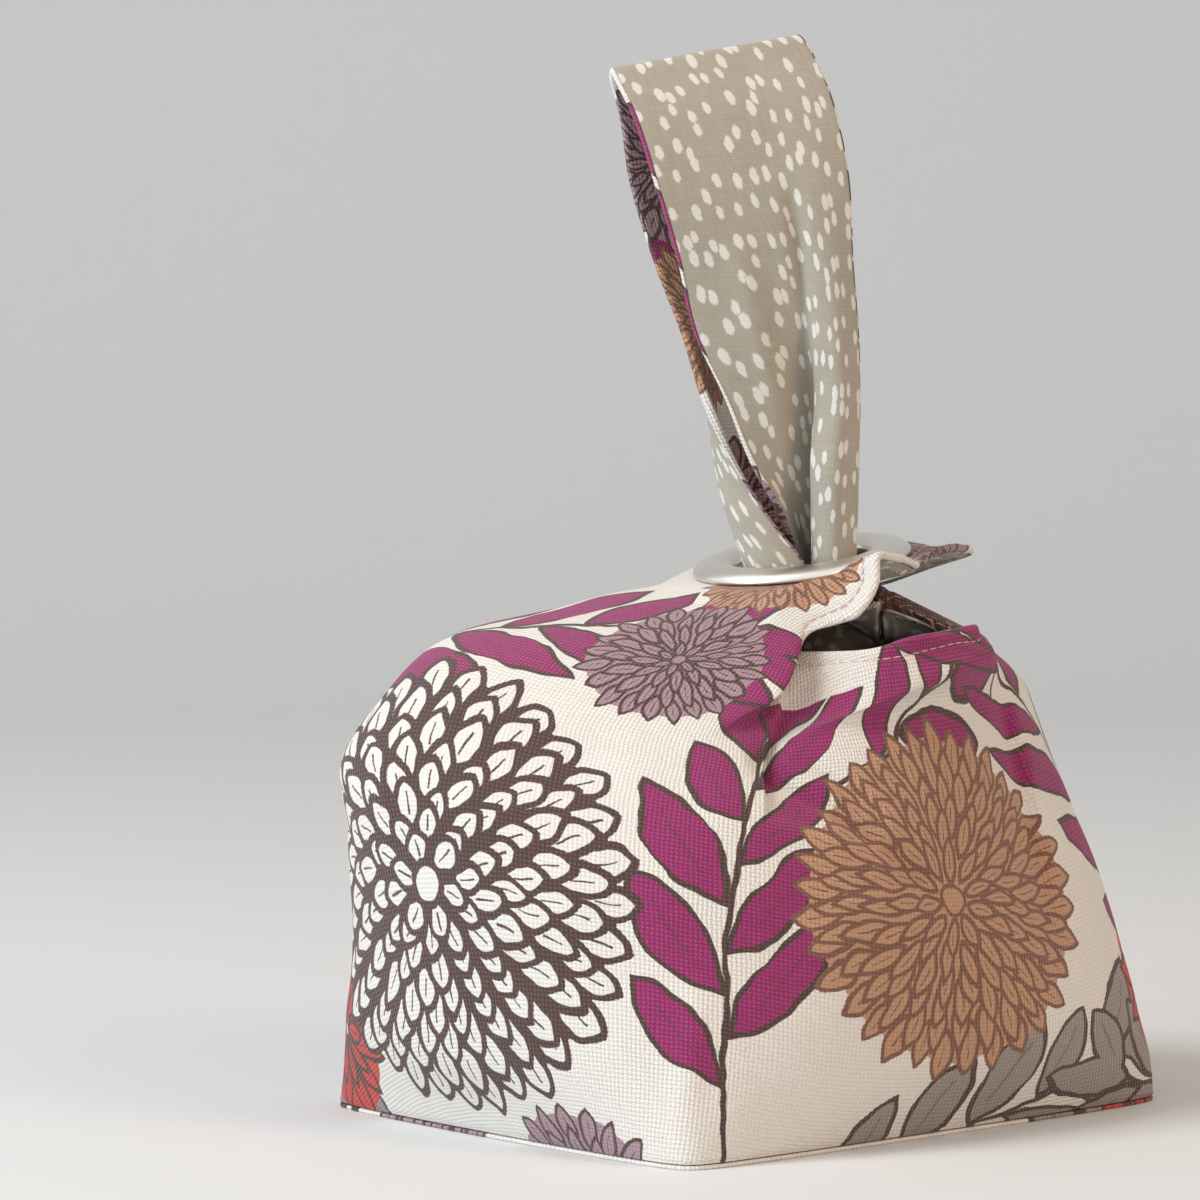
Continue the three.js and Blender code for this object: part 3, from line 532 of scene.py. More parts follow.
# ---------- Flat coordinates of the cloth ----------
def unwrapped(grid):
    """Flat coordinates of a grid of points, at any scale and turn."""
    columns, count = grid.shape[:2]
    faces, _ = grid_faces(columns, count, False)
    mesh = bpy.data.meshes.new("flat_cloth")
    mesh.from_pydata(grid.reshape(-1, 3).tolist(), [], faces.tolist())
    mesh.uv_layers.new(name="flat")
    cloth = bpy.data.objects.new("flat_cloth", mesh)
    bpy.context.scene.collection.objects.link(cloth)
    bpy.context.view_layer.objects.active = cloth
    cloth.select_set(True)
    bpy.ops.object.mode_set(mode="EDIT")
    bpy.ops.mesh.select_all(action="SELECT")
    bpy.ops.uv.unwrap(method="MINIMUM_STRETCH", iterations=30, margin=0.0)
    bpy.ops.object.mode_set(mode="OBJECT")
    flat = np.zeros(len(mesh.loops) * 2)
    mesh.uv_layers["flat"].data.foreach_get("uv", flat)
    corner_vertex = np.zeros(len(mesh.loops), int)
    mesh.loops.foreach_get("vertex_index", corner_vertex)
    uv = np.zeros((columns * count, 2))
    uv[corner_vertex] = flat.reshape(-1, 2)
    bpy.data.objects.remove(cloth)
    bpy.data.meshes.remove(mesh)
    return uv.reshape(columns, count, 2)


def body_flat_map(places, heights, every=6, row_steps=2):
    """Where each point of the body lies on the flat cloth, in millimetres, from a coarse unwrapping
    at real scale with the front corner's line upright and its foot at the origin."""
    coarse_places = np.unique(np.concatenate([places[::every], places[-1:]]))
    coarse_rows = row_places(row_steps)
    grid = body_grid(coarse_places, coarse_rows)
    uv = unwrapped(grid)
    uv *= along_columns(grid)[:, -1].sum() / along_columns(uv)[:, -1].sum()
    front = np.argmin(np.abs(coarse_places - FRONT_AT))
    foot, up = uv[front, 0], uv[front, np.searchsorted(coarse_rows, 0.5)]
    upward = (up - foot) / np.linalg.norm(up - foot)
    across = np.array([upward[1], -upward[0]])
    uv = np.stack([(uv - foot) @ across, (uv - foot) @ upward], axis=2)
    if uv[-1, 0, 0] < uv[0, 0, 0]:
        uv[..., 0] *= -1
    by_place = smooth_through(coarse_places, uv, places)
    return np.stack([smooth_through(coarse_rows, column, v) for column, v in zip(by_place, heights)])


def strap_flat_map(grid):
    """Where each point of the strap lies on the flat cloth, in millimetres from the root."""
    along = np.linalg.norm(np.diff(grid, axis=1), axis=2).mean(0)
    along = np.concatenate([[0], np.cumsum(along)])
    across = np.linspace(0, STRAP_WIDTH, grid.shape[0])
    return np.stack(np.meshgrid(across, along, indexing="ij"), axis=2)


# ---------- Meshes ----------
def grid_faces(columns, count, closed):
    """Faces of a grid as vertex ids, and the same with the seam's column twice for their flat coordinates."""
    i, j = np.meshgrid(np.arange(columns if closed else columns - 1), np.arange(count - 1), indexing="ij")
    here, right = (i * count + j).ravel(), ((i + 1) * count + j).ravel()
    flat_ids = np.stack([here, right, right + 1, here + 1], axis=1)
    return flat_ids % (columns * count), flat_ids


def thickened(outer, inner, faces, corners, rim_steps=4):
    """A closed cloth from its two faces, with a rounded rim on every free edge."""
    count = len(outer)
    starts = faces.ravel()
    ends = np.roll(faces, -1, axis=1).ravel()
    free = ~np.isin(starts * count + ends, ends * count + starts)
    a, b = starts[free], ends[free]
    corner_a = corners.reshape(-1, 2)[free]
    corner_b = np.roll(corners, -1, axis=1).reshape(-1, 2)[free]
    middle, half = (outer + inner) / 2, (outer - inner) / 2
    outward = np.zeros_like(outer)
    push = np.cross(middle[b] - middle[a], half[a] + half[b])
    np.add.at(outward, a, push)
    np.add.at(outward, b, push)
    rim = np.unique(np.concatenate([a, b]))
    outward[rim] = unit(outward[rim]) * np.linalg.norm(half[rim], axis=1, keepdims=True)
    vertices = [outer, inner]
    layer = np.full((rim_steps + 1, count), -1)
    layer[0], layer[rim_steps] = np.arange(count), np.arange(count) + count
    total = 2 * count
    for k in range(1, rim_steps):
        angle = math.pi * k / rim_steps
        vertices.append(middle[rim] + half[rim] * math.cos(angle) + outward[rim] * math.sin(angle))
        layer[k, rim] = total + np.arange(len(rim))
        total += len(rim)
    all_faces, all_corners = [faces, faces[:, ::-1] + count], [corners, corners[:, ::-1]]
    for k in range(rim_steps):
        all_faces.append(np.stack([layer[k, b], layer[k, a], layer[k + 1, a], layer[k + 1, b]], axis=1))
        all_corners.append(np.stack([corner_b, corner_a, corner_a, corner_b], axis=1))
    return np.concatenate(vertices), np.concatenate(all_faces), np.concatenate(all_corners)


def make_object(name, vertices, faces, corners, material):
    """A smooth mesh object from points in millimetres and flat coordinates for each corner."""
    used = np.unique(faces)
    renumber = np.full(len(vertices), -1)
    renumber[used] = np.arange(len(used))
    kept = faces != np.roll(faces, 1, axis=1)      # a face that names a point twice is a triangle
    mesh = bpy.data.meshes.new(name)
    polygons = [face[keep].tolist() for face, keep in zip(renumber[faces], kept)]
    mesh.from_pydata((vertices[used] * MM).tolist(), [], polygons)
    if corners is not None:
        layer = mesh.uv_layers.new(name="flat")
        layer.data.foreach_set("uv", (corners[kept] * MM).ravel())
    mesh.polygons.foreach_set("use_smooth", [True] * len(mesh.polygons))
    mesh.materials.append(material)
    mesh.update()
    piece = bpy.data.objects.new(name, mesh)
    bpy.context.scene.collection.objects.link(piece)
    return piece


# ---------- Node trees: numbers over the surface ----------
class Field:
    """One socket of a node tree, with the usual arithmetic."""

    def __init__(self, tree, socket):
        self.tree = tree
        self.socket = socket

    def calc(self, operation, *others, clamp=False):
        return calc(self.tree, operation, self, *others, clamp=clamp)

    def __add__(self, other):
        return self.calc("ADD", other)

    def __sub__(self, other):
        return self.calc("SUBTRACT", other)

    def __mul__(self, other):
        return self.calc("MULTIPLY", other)

    def __truediv__(self, other):
        return self.calc("DIVIDE", other)

    def __rsub__(self, other):
        return calc(self.tree, "SUBTRACT", other, self)

    def __rtruediv__(self, other):
        return calc(self.tree, "DIVIDE", other, self)

    def size(self):
        return self.calc("ABSOLUTE")


def feed(tree, value, socket):
    """Link a field to a socket, or set the socket to a number or a colour."""
    if isinstance(value, Field):
        tree.links.new(value.socket, socket)
    elif isinstance(value, tuple):
        socket.default_value = (*value, 1.0)
    else:
        socket.default_value = value


def calc(tree, operation, *values, clamp=False):
    node = tree.nodes.new("ShaderNodeMath")
    node.operation = operation
    node.use_clamp = clamp
    for value, socket in zip(values, node.inputs):
        feed(tree, value, socket)
    return Field(tree, node.outputs[0])


def vector(tree, x, y, z=0.0):
    node = tree.nodes.new("ShaderNodeCombineXYZ")
    for value, socket in zip((x, y, z), node.inputs):
        feed(tree, value, socket)
    return Field(tree, node.outputs[0])


def mixed(tree, share, first, second):
    """Colour between the first, at share 0, and the second, at share 1."""
    node = tree.nodes.new("ShaderNodeMix")
    node.data_type = "RGBA"
    for value, socket in zip((share, first, second), (node.inputs[0], node.inputs[6], node.inputs[7])):
        feed(tree, value, socket)
    return Field(tree, node.outputs[2])


def noisy(tree, place, scale, detail=2.0):
    """Soft noise about 0.5."""
    node = tree.nodes.new("ShaderNodeTexNoise")
    feed(tree, place, node.inputs["Vector"])
    node.inputs["Scale"].default_value = scale
    node.inputs["Detail"].default_value = detail
    return Field(tree, node.outputs["Fac"])


def within(distance, soft=0.12):
    """1 where the distance is negative, 0 where it is positive, over a soft edge."""
    return distance.calc("MULTIPLY_ADD", -0.5 / soft, 0.5, clamp=True)


def make_group(name, build, numbers, colours="", output="Colour"):
    """A node group with one output; its inputs are the build function's arguments after the tree."""
    tree = bpy.data.node_groups.new(name, "ShaderNodeTree")
    kinds = {**dict.fromkeys(colours.split(), "Color"), **dict.fromkeys(numbers.split(), "Float")}
    for label, kind in kinds.items():
        tree.interface.new_socket(label, in_out="INPUT", socket_type=f"NodeSocket{kind}")
    kind = "Color" if output == "Colour" else "Float"
    tree.interface.new_socket(output, in_out="OUTPUT", socket_type=f"NodeSocket{kind}")
    entry, leave = tree.nodes.new("NodeGroupInput"), tree.nodes.new("NodeGroupOutput")
    result = build(tree, **{label: Field(tree, entry.outputs[label]) for label in kinds})
    feed(tree, result, leave.inputs[output])


def use_group(tree, name, **values):
    """The output of a node group with these inputs."""
    node = tree.nodes.new("ShaderNodeGroup")
    node.node_tree = bpy.data.node_groups[name]
    for label, value in values.items():
        feed(tree, value, node.inputs[label])
    return Field(tree, node.outputs[0])


# ---------- Weave and print ----------
def build_weave(tree, x, y, pitch):
    """Plain weave: threads that pass over and under each other by turns."""
    uneven = noisy(tree, vector(tree, x * 0.11, y * 0.11), 1.0) - 0.5
    u = x / pitch + uneven * 0.7
    v = y / pitch + uneven * 0.7
    column, row = u.calc("FLOOR"), v.calc("FLOOR")
    over = ((v + column - 0.5) * math.pi).calc("COSINE") * 0.5 + 0.5
    under = 0.5 - ((u + row - 0.5) * math.pi).calc("COSINE") * 0.5
    warp = (u * math.pi).calc("SINE").size() * over
    weft = (v * math.pi).calc("SINE").size() * under
    return warp.calc("MAXIMUM", weft)


def lens(along, across, half_length, half_width):
    """Distance to a pointed leaf about the origin."""
    radius = (half_length * half_length + half_width * half_width) / (half_width * 2.0)
    shifted = across.size() + (radius - half_width)
    return (shifted * shifted + along * along).calc("SQRT") - radius


TILE = (330.0, 300.0)     # the print's repeat, across and up, in millimetres
STRAY = 7.0               # how far the drawing strays from true outlines
DOT_CELL = (4.7, 9.4)     # a dot's room, across and up; dots are long, as their cells are
DOT_ROOM = 4.6            # the length that a dot's half width is a share of

# Rings of petals from the rim in: middle and half length as shares of the bloom's size, width as a share
# of a petal's room, turn as a share of a petal's step.
BLOOM_RINGS = table(
    "bloom petals middle half width turn",
    ("dahlia", 30, 0.870, 0.125, 1.06, 0.0), ("dahlia", 27, 0.755, 0.125, 1.06, 0.5),
    ("dahlia", 24, 0.640, 0.120, 1.06, 0.2), ("dahlia", 20, 0.530, 0.115, 1.06, 0.6),
    ("dahlia", 17, 0.425, 0.110, 1.06, 0.1), ("dahlia", 13, 0.325, 0.100, 1.06, 0.4),
    ("dahlia", 10, 0.235, 0.090, 1.06, 0.8), ("dahlia", 6, 0.150, 0.085, 1.06, 0.3),
    ("aster", 34, 0.86, 0.140, 0.92, 0.0), ("aster", 30, 0.74, 0.145, 0.86, 0.4),
    ("aster", 25, 0.61, 0.150, 0.84, 0.1), ("aster", 20, 0.48, 0.145, 0.82, 0.6),
    ("aster", 15, 0.35, 0.135, 0.80, 0.3), ("aster", 10, 0.22, 0.115, 0.80, 0.7),
    ("posy", 22, 0.80, 0.19, 0.90, 0.0), ("posy", 17, 0.58, 0.20, 0.86, 0.4),
    ("posy", 12, 0.37, 0.18, 0.84, 0.1), ("posy", 7, 0.19, 0.13, 0.84, 0.6),
    ("daisy", 11, 0.62, 0.40, 0.98, 0.0), ("daisy", 9, 0.40, 0.26, 1.0, 0.5),
)
BLOOMS = table(
    "kind x y size fill line heart pen",
    ("daisy", -150, 44, 27, "coral", "ink", "cream", 1.6),
    ("posy", -40, 276, 36, "mauve", "ink", "mauve", 1.1),
    ("posy", -28, 208, 26, "tan", "tan_ink", "tan", 1.1),
    ("aster", 150, 190, 36, "tan", "ink", "tan", 1.7),
    ("posy", -26, 158, 28, "mauve", "ink", "mauve", 1.0),
    ("aster", 76, 84, 52, "tan", "tan_ink", "tan", 1.3),
    ("dahlia", -80, 70, 64, "cream", "ink", "cream", 2.1),
)
SPRIGS = table(
    "x y turn pairs pitch leaf girth spread bow fill",
    (34, -14, 34, 5, 22, 19, 6.5, 40, -0.002, "grey"),
    (118, 140, 68, 3, 22, 17, 6.5, 40, 0.003, "grey"),
    (8, 2, 97, 5, 26, 21, 7.5, 38, -0.0015, "plum"),
    (38, 118, 22, 4, 25, 20, 7.5, 44, 0.004, "plum"),
    (-148, 118, 38, 5, 25, 21, 8.0, 40, -0.002, "plum"),
    (196, 30, 100, 5, 27, 21, 7.5, 44, 0.003, "plum"),
    (-118, -6, 150, 3, 22, 17, 6.0, 40, 0.002, "grey"),
)


def motif_frame(x, y, motif, turn=0.0):
    """Coordinates about a motif that comes again in every tile."""
    width, height = TILE
    dx = (x - motif["x"]).calc("WRAP", width / 2, -width / 2)
    dy = (y - motif["y"]).calc("WRAP", height / 2, -height / 2)
    c, s = math.cos(turn), math.sin(turn)
    return dx * c + dy * s, dy * c - dx * s


def build_petals(tree, below, radius, turn, wobble, petals, offset, middle, half, width, pen, seed,
                 fill, ink):
    """One ring of a bloom's petals over what is below it."""
    step = turn * petals + offset
    cell = (step + 0.5).calc("FLOOR")
    share = (cell.calc("FLOORED_MODULO", petals) * seed).calc("SINE")
    room = math.pi / petals
    across = (step - cell).size() * radius * room * 2.0 + wobble * 0.25
    along = radius - middle + share * half * 0.18
    petal = lens(along, across, half * 1.12, width * 0.5)
    edge = petal.calc("MAXIMUM", across - radius * room)
    vein = within(across.calc("MAXIMUM", along.size() - half * 0.38) - pen * 0.14)
    outline = within((edge + pen) * -1.0)
    return mixed(tree, within(edge), below, mixed(tree, vein.calc("MAXIMUM", outline), fill, ink))


def draw_bloom(tree, below, x, y, wobble, motif, inks):
    """A bloom over what is below it: its rings of petals from the rim in, then its heart."""
    a, b = motif_frame(x, y, motif)
    size, pen = motif["size"], motif["pen"]
    radius = (a * a + b * b).calc("SQRT") + wobble * 0.6
    turn = b.calc("ARCTAN2", a) * (0.5 / math.pi)
    fill, ink = inks[motif["fill"]], inks[motif["line"]]
    ground = ink if motif["fill"] == "cream" else fill
    drawn = mixed(tree, within(radius - 0.91 * size), below, ground)
    rings = [ring for ring in BLOOM_RINGS if ring["bloom"] == motif["kind"]]
    for number, ring in enumerate(rings):
        room = 2 * math.pi * ring["middle"] * size / ring["petals"]
        drawn = use_group(tree, "Petals", below=drawn, radius=radius, turn=turn, wobble=wobble,
                          petals=ring["petals"], offset=ring["turn"], middle=ring["middle"] * size,
                          half=ring["half"] * size, width=room * ring["width"], pen=pen, seed=3.7 + number,
                          fill=fill, ink=ink)
    core = radius - 0.085 * size
    drawn = mixed(tree, within(core), drawn, inks[motif["heart"]])
    return mixed(tree, within(core.size() - pen * 0.45), drawn, ink)


def build_sprig(tree, below, a, b, pitch, leaf, girth, pairs, spread, pen, fill, ink):
    """A stem along the first axis with leaves on both sides by turns and one at its tip."""
    side = b.calc("SIGN")
    away = b.size()
    sine, cosine = spread.calc("SINE"), spread.calc("COSINE")
    place = (a - away * cosine / sine) / pitch + side * 0.25
    number = place.calc("ROUND").calc("MAXIMUM", 1.0).calc("MINIMUM", pairs)
    share = (number * 2.3 + side * 1.7).calc("SINE") * 0.13 + 1.0
    ahead = a - (number - side * 0.25) * pitch
    along = (ahead * cosine + away * sine) / share - leaf * 1.1
    across = (away * cosine - ahead * sine) / share
    stem_half = (pairs + 0.2) * pitch * 0.5
    tip = lens(a - stem_half * 2.0 - leaf * 0.9, b, leaf, girth)
    stem = (away - pen * 0.42).calc("MAXIMUM", (a - stem_half).size() - stem_half)
    edge = lens(along, across, leaf, girth).calc("MINIMUM", tip)
    rib = within(across.size() - 0.35) * within(along.size() - leaf * 0.55) * 0.45
    drawn = mixed(tree, within(edge), below, mixed(tree, rib, fill, ink))
    return mixed(tree, within((edge.size() - pen * 0.42).calc("MINIMUM", stem)), drawn, ink)


def draw_sprig(tree, below, x, y, wobble, motif, inks, pen):
    """A leafy sprig over what is below it, its stem slightly bowed."""
    a, b = motif_frame(x, y, motif, math.radians(motif["turn"]))
    b = b - a * a * motif["bow"] + wobble * 0.5
    sizes = {name: motif[name] for name in ("pitch", "leaf", "girth", "pairs")}
    return use_group(tree, "Sprig", below=below, a=a, b=b, spread=math.radians(motif["spread"]), pen=pen,
                     fill=inks[motif["fill"]], ink=inks["ink"], **sizes)


def build_print(tree, x, y, thread):
    """The printed canvas: blooms and leafy sprigs in drawn outlines on a cream ground."""
    inks = {name: picked(name) for name in "cream ink plum tan tan_ink grey coral mauve".split()}
    place = vector(tree, x, y)
    wobble_x = (noisy(tree, place, 0.045) - 0.5) * STRAY
    wobble_y = (noisy(tree, vector(tree, y + 50.0, x - 90.0), 0.05) - 0.5) * STRAY
    wobble = (noisy(tree, place, 0.16, 1.0) - 0.5) * 1.8 + (thread - 0.5) * 0.35
    wx, wy = x + wobble_x, y + wobble_y
    drawn = inks["cream"]
    for motif in SPRIGS:
        drawn = draw_sprig(tree, drawn, wx, wy, wobble, motif, inks, bpy.context.scene.bag_sizes.outline)
    for motif in BLOOMS:
        drawn = draw_bloom(tree, drawn, wx, wy, wobble, motif, inks)
    return drawn


def build_groups():
    colours = "below fill ink"
    make_group("Petals", build_petals, "radius turn wobble petals offset middle half width pen seed", colours)
    make_group("Sprig", build_sprig, "a b pitch leaf girth pairs spread pen", colours)
    make_group("Weave", build_weave, "x y pitch", output="Height")
    make_group("Print", build_print, "x y thread")


# ---------- Materials ----------
# Depth of each surface's bumps, in metres.
RELIEF = {"canvas": 0.00042, "linen": 0.00011, "metal": 0.000012, "thread": 0.00008}
# Painted shade in the gaps between the canvas's threads
CANVAS_GAP_SHADE = srgb(96, 72, 62)
# Painted highlight on the canvas threads' tops, in patches
CANVAS_TOP_HIGHLIGHT = srgb(238, 226, 216)
# Painted shade in the gaps between the linen's threads
LINEN_GAP_SHADE = srgb(104, 94, 80)
LINEN_STREAKS = srgb(172, 163, 146)


def picked(name):
    """One of the colours that a user can change."""
    return tuple(getattr(bpy.context.scene.bag_colours, name))


def new_material(name, settings):
    """A material with these inputs of its shader set, with its tree and shader to build on."""
    material = bpy.data.materials.new(name)
    material.use_nodes = True
    tree = material.node_tree
    shader = tree.nodes["Principled BSDF"]
    for label, value in settings.items():
        feed(tree, value, shader.inputs[label])
    return material, tree, shader


def flat_place(tree, shift=(0.0, 0.0), way=1.0):
    """Flat coordinates of the cloth in millimetres, turned half round where the way is -1."""
    uv = tree.nodes.new("ShaderNodeUVMap")
    uv.uv_map = "flat"
    split = tree.nodes.new("ShaderNodeSeparateXYZ")
    tree.links.new(uv.outputs[0], split.inputs[0])
    x, y = Field(tree, split.outputs[0]), Field(tree, split.outputs[1])
    return tuple(value.calc("MULTIPLY_ADD", way / MM, start) for value, start in zip((x, y), shift))


def bump(tree, shader, height, depth):
    """Relief whose height of 1 is this depth in metres."""
    node = tree.nodes.new("ShaderNodeBump")
    node.inputs["Distance"].default_value = depth
    node.inputs["Strength"].default_value = 1.0
    feed(tree, height, node.inputs["Height"])
    tree.links.new(node.outputs[0], shader.inputs["Normal"])


def object_place(tree):
    """The point on the piece, in metres."""
    return Field(tree, tree.nodes.new("ShaderNodeTexCoord").outputs["Object"])


def canvas_material(name, shift=(0.0, 0.0), way=1.0):
    """Printed duck canvas: the print lies on the threads' tops, the gaps between them are painted darker as
    shade, and the tops are painted lighter in patches as a highlight.
    """
    material, tree, shader = new_material(name, {"Roughness": 0.85, "Specular IOR Level": 0.28,
                                                 "Sheen Weight": 0.20, "Sheen Roughness": 0.5})
    x, y = flat_place(tree, shift, way)
    place = vector(tree, x, y)
    height = use_group(tree, "Weave", x=x, y=y, pitch=bpy.context.scene.bag_sizes.canvas_pitch)
    printed = use_group(tree, "Print", x=x, y=y, thread=height)
    # The gaps between threads are painted darker, as shade
    gap_shade = mixed(tree, 0.45, printed, CANVAS_GAP_SHADE)
    cloth = mixed(tree, (0.8 - height).calc("MULTIPLY", 0.44, clamp=True), printed, gap_shade)
    # The threads' tops are painted lighter in patches, as a highlight
    top_highlight = (height - 0.62).calc("MULTIPLY", 0.42, clamp=True) * noisy(tree, place, 0.35, 3.0)
    feed(tree, mixed(tree, top_highlight, cloth, CANVAS_TOP_HIGHLIGHT), shader.inputs["Base Color"])
    bump(tree, shader, height + noisy(tree, place, 3.1, 1.0) * 0.3, RELIEF["canvas"])
    return material


def dot_cells(tree, x, y):
    """Distance to the middle of the nearest dot, in cells, and a number that differs from dot to dot."""
    across, up = DOT_CELL
    cells = tree.nodes.new("ShaderNodeTexVoronoi")
    cells.voronoi_dimensions = "2D"
    cells.inputs["Randomness"].default_value = 0.85
    cells.inputs["Scale"].default_value = 1.0
    feed(tree, vector(tree, x / across, y / up), cells.inputs["Vector"])
    split = tree.nodes.new("ShaderNodeSeparateColor")
    tree.links.new(cells.outputs["Color"], split.inputs[0])
    return Field(tree, cells.outputs["Distance"]), Field(tree, split.outputs[0])


def linen_material(name):
    """Dotted linen: pale dots on streaked threads, with painted shade in the gaps between the threads."""
    sizes = bpy.context.scene.bag_sizes
    material, tree, shader = new_material(name, {"Roughness": 0.88, "Specular IOR Level": 0.25,
                                                 "Sheen Weight": 0.10})
    x, y = flat_place(tree)
    height = use_group(tree, "Weave", x=x, y=y, pitch=sizes.linen_pitch)
    ragged = (noisy(tree, vector(tree, x, y), 0.55, 1.0) - 0.5) * 1.1
    distance, chance = dot_cells(tree, x + ragged, y + ragged)
    dots = within(distance - (chance * 0.08 + sizes.dot / DOT_ROOM), 0.035)
    warp, weft = vector(tree, x * 2.6, y * 0.10), vector(tree, x * 0.10, y * 2.6)
    streaks = noisy(tree, warp, 1.0, 3.0) * noisy(tree, weft, 1.0, 3.0)
    pale = (streaks * 2.2).calc("SUBTRACT", 0.1, clamp=True)
    cloth = mixed(tree, dots * 0.92, mixed(tree, pale, LINEN_STREAKS, picked("linen")), picked("dots"))
    # The gaps between threads are painted darker, as shade
    feed(tree, mixed(tree, (1.0 - height) * 0.22, cloth, LINEN_GAP_SHADE), shader.inputs["Base Color"])
    bump(tree, shader, height + streaks * 1.2, RELIEF["linen"])
    return material


def metal_material(name):
    """Satin metal with the faint marks of handling."""
    material, tree, shader = new_material(name, {"Base Color": picked("metal"), "Metallic": 1.0})
    place = object_place(tree)
    feed(tree, noisy(tree, place, 900.0, 3.0) * 0.10 + 0.27, shader.inputs["Roughness"])
    bump(tree, shader, noisy(tree, place, 420.0, 2.0), RELIEF["metal"])
    return material


def thread_material(name):
    """Spun polyester thread."""
    material, tree, shader = new_material(name, {"Roughness": 0.6})
    shade = noisy(tree, object_place(tree), 2500.0, 2.0)
    thread = picked("thread")
    feed(tree, mixed(tree, shade, tuple(c * 0.75 for c in thread), thread), shader.inputs["Base Color"])
    bump(tree, shader, shade, RELIEF["thread"])
    return material


# ---------- Pieces ----------
class BodyCloth:
    """The body's fine grid, its normals and its flat coordinates, shared by the pieces that lie on it."""

    def __init__(self):
        places = column_places()
        dense_rows = row_places(DENSE_STEPS)
        grid, heights = hem_rows(body_grid(places, dense_rows), dense_rows, ROW_STEPS)
        self.at = places[:-1] % 1.0
        self.flat = body_flat_map(places, heights)
        self.grid = pressed(grid[:-1], True, CREASES, BODY_UNEVEN)
        self.normals = soft_normals(self.grid, True)
        self.drawn_in()
        self.on_flap = (self.at < FLAP_SIDES[0]) | (self.at > FLAP_SIDES[1])
        past_root = np.abs(self.at - 0.5) - (0.5 - STRAP_ROOT["from"])
        slight, over = ROOT_NOSE["share"], ROOT_NOSE["over"]
        self.reach = NOSE * (slight + (1 - slight) * smooth_step(past_root / over))

    def drawn_in(self):
        """The topstitch draws the hem in."""
        length = along_columns(self.grid)
        away = length[:, -1:] - length - bpy.context.scene.bag_sizes.hem
        depth = HEM_DRAWN["depth"] * np.exp(-((away / HEM_DRAWN["width"]) ** 2))
        self.grid = self.grid - self.normals * depth[..., None]

    def layer(self, depth, inset):
        """The grid at a depth under the outer face, its last row drawn back from the edge."""
        points = unfolded(self.grid - self.normals * depth, self.normals, True)
        here = along_columns(points)
        back = np.asarray(inset).reshape(-1, 1) * smooth_step(1 - (here[:, -1:] - here) / HEM_ROOM)
        return moved_along(points, here, here - back)

    def faces(self, rows, start):
        """Faces and flat corners of a grid of these rows, without the grommet's hole. The body's own rows
        begin at the start."""
        columns, body_rows = self.grid.shape[:2]
        faces, flat_ids = grid_faces(columns, rows, True)
        near = np.hypot(self.grid[..., 0] - RING["x"], self.grid[..., 1] - RING["y"]) < HOLE_RADIUS
        near &= self.on_flap[:, None] & (self.grid[..., 2] > HOLE_FROM_Z)
        in_hole = np.zeros((columns, rows), bool)
        in_hole[:, start:start + body_rows] = near
        whole = ~in_hole.ravel()[faces].any(axis=1)
        return faces[whole], flat_ids[whole]


body_cloth = functools.cache(BodyCloth)


def thick_cloth(name, outer, inner, faces, corners, material):
    """A cloth piece from the grids of its two faces."""
    thick = thickened(outer.reshape(-1, 3), inner.reshape(-1, 3), faces, corners)
    return make_object(name, *thick, material)


def finish_cloth(piece, node):
    """Attach a cloth piece to the root body and hide the imported part that it stands for."""
    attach(piece, "root")
    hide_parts(node)


class DUMPLINGBAG_OT_body(bpy.types.Operator):
    """Make the printed outer cloth: four sides, the flap and the slit edges"""
    bl_idname = "dumplingbag.body"
    bl_label = "Outer cloth"

    def execute(self, context):
        cloth = body_cloth()
        outer, inner = cloth.layer(0.0, cloth.reach), cloth.layer(OUTER_CLOTH, cloth.reach)
        for face in (outer, inner):
            face[:, 0, 2] = FOOT_Z + OUTER_CLOTH / 2
        # The first column comes again at the seam, as the flat coordinates differ there.
        outer, inner, reach = (np.concatenate([a, a[:1]]) for a in (outer, inner, cloth.reach))
        outer, inner, flat = nosed(outer, inner, cloth.flat, reach)
        faces, flat_ids = cloth.faces(outer.shape[1], 0)
        corners = flat.reshape(-1, 2)[flat_ids]
        canvas = canvas_material("printed_canvas")
        piece = thick_cloth("outer_canvas", outer[:-1], inner[:-1], faces, corners, canvas)
        finish_cloth(piece, "outer_body")
        return {"FINISHED"}


class DUMPLINGBAG_OT_lining(bpy.types.Operator):
    """Make the dotted lining, a bag of its own with a floor"""
    bl_idname = "dumplingbag.lining"
    bl_label = "Lining"

    def execute(self, context):
        cloth = body_cloth()
        inset = cloth.reach + LINING_INSET
        outer, inner = cloth.layer(LINING_FROM, inset), cloth.layer(FLAP_THICKNESS, inset)
        foot, level = cloth.grid[:, 1], unit(cloth.normals[:, 1] * [1, 1, 0])
        floor_outer, floor_inner = [], []
        for row in FLOOR_ROWS:
            base = np.column_stack([foot[:, :2] * row["share"], np.full(len(foot), row["z"])])
            tilt = unit(level * (1 - row["down"]) - np.array([0, 0, row["down"]]))
            floor_outer.append((base - tilt * LINING_FROM)[:, None])
            floor_inner.append((base - tilt * FLAP_THICKNESS)[:, None])
        outer = np.concatenate(floor_outer + [outer[:, 1:]], axis=1)
        inner = np.concatenate(floor_inner + [inner[:, 1:]], axis=1)
        below = [cloth.flat[:, 1:2] + [0, (row["share"] - 1) * FLOOR_REACH] for row in FLOOR_ROWS]
        flat = np.concatenate(below + [cloth.flat[:, 1:]], axis=1)
        rows = outer.shape[1]
        faces, flat_ids = cloth.faces(rows, len(FLOOR_ROWS) - 1)
        corners = flat.reshape(-1, 2)[flat_ids]
        faces = np.where(faces % rows == 0, 0, faces)      # the middle of the floor is one point
        piece = thick_cloth("lining_linen", outer, inner, faces, corners, linen_material("dotted_linen"))
        finish_cloth(piece, "lining_body")
        return {"FINISHED"}


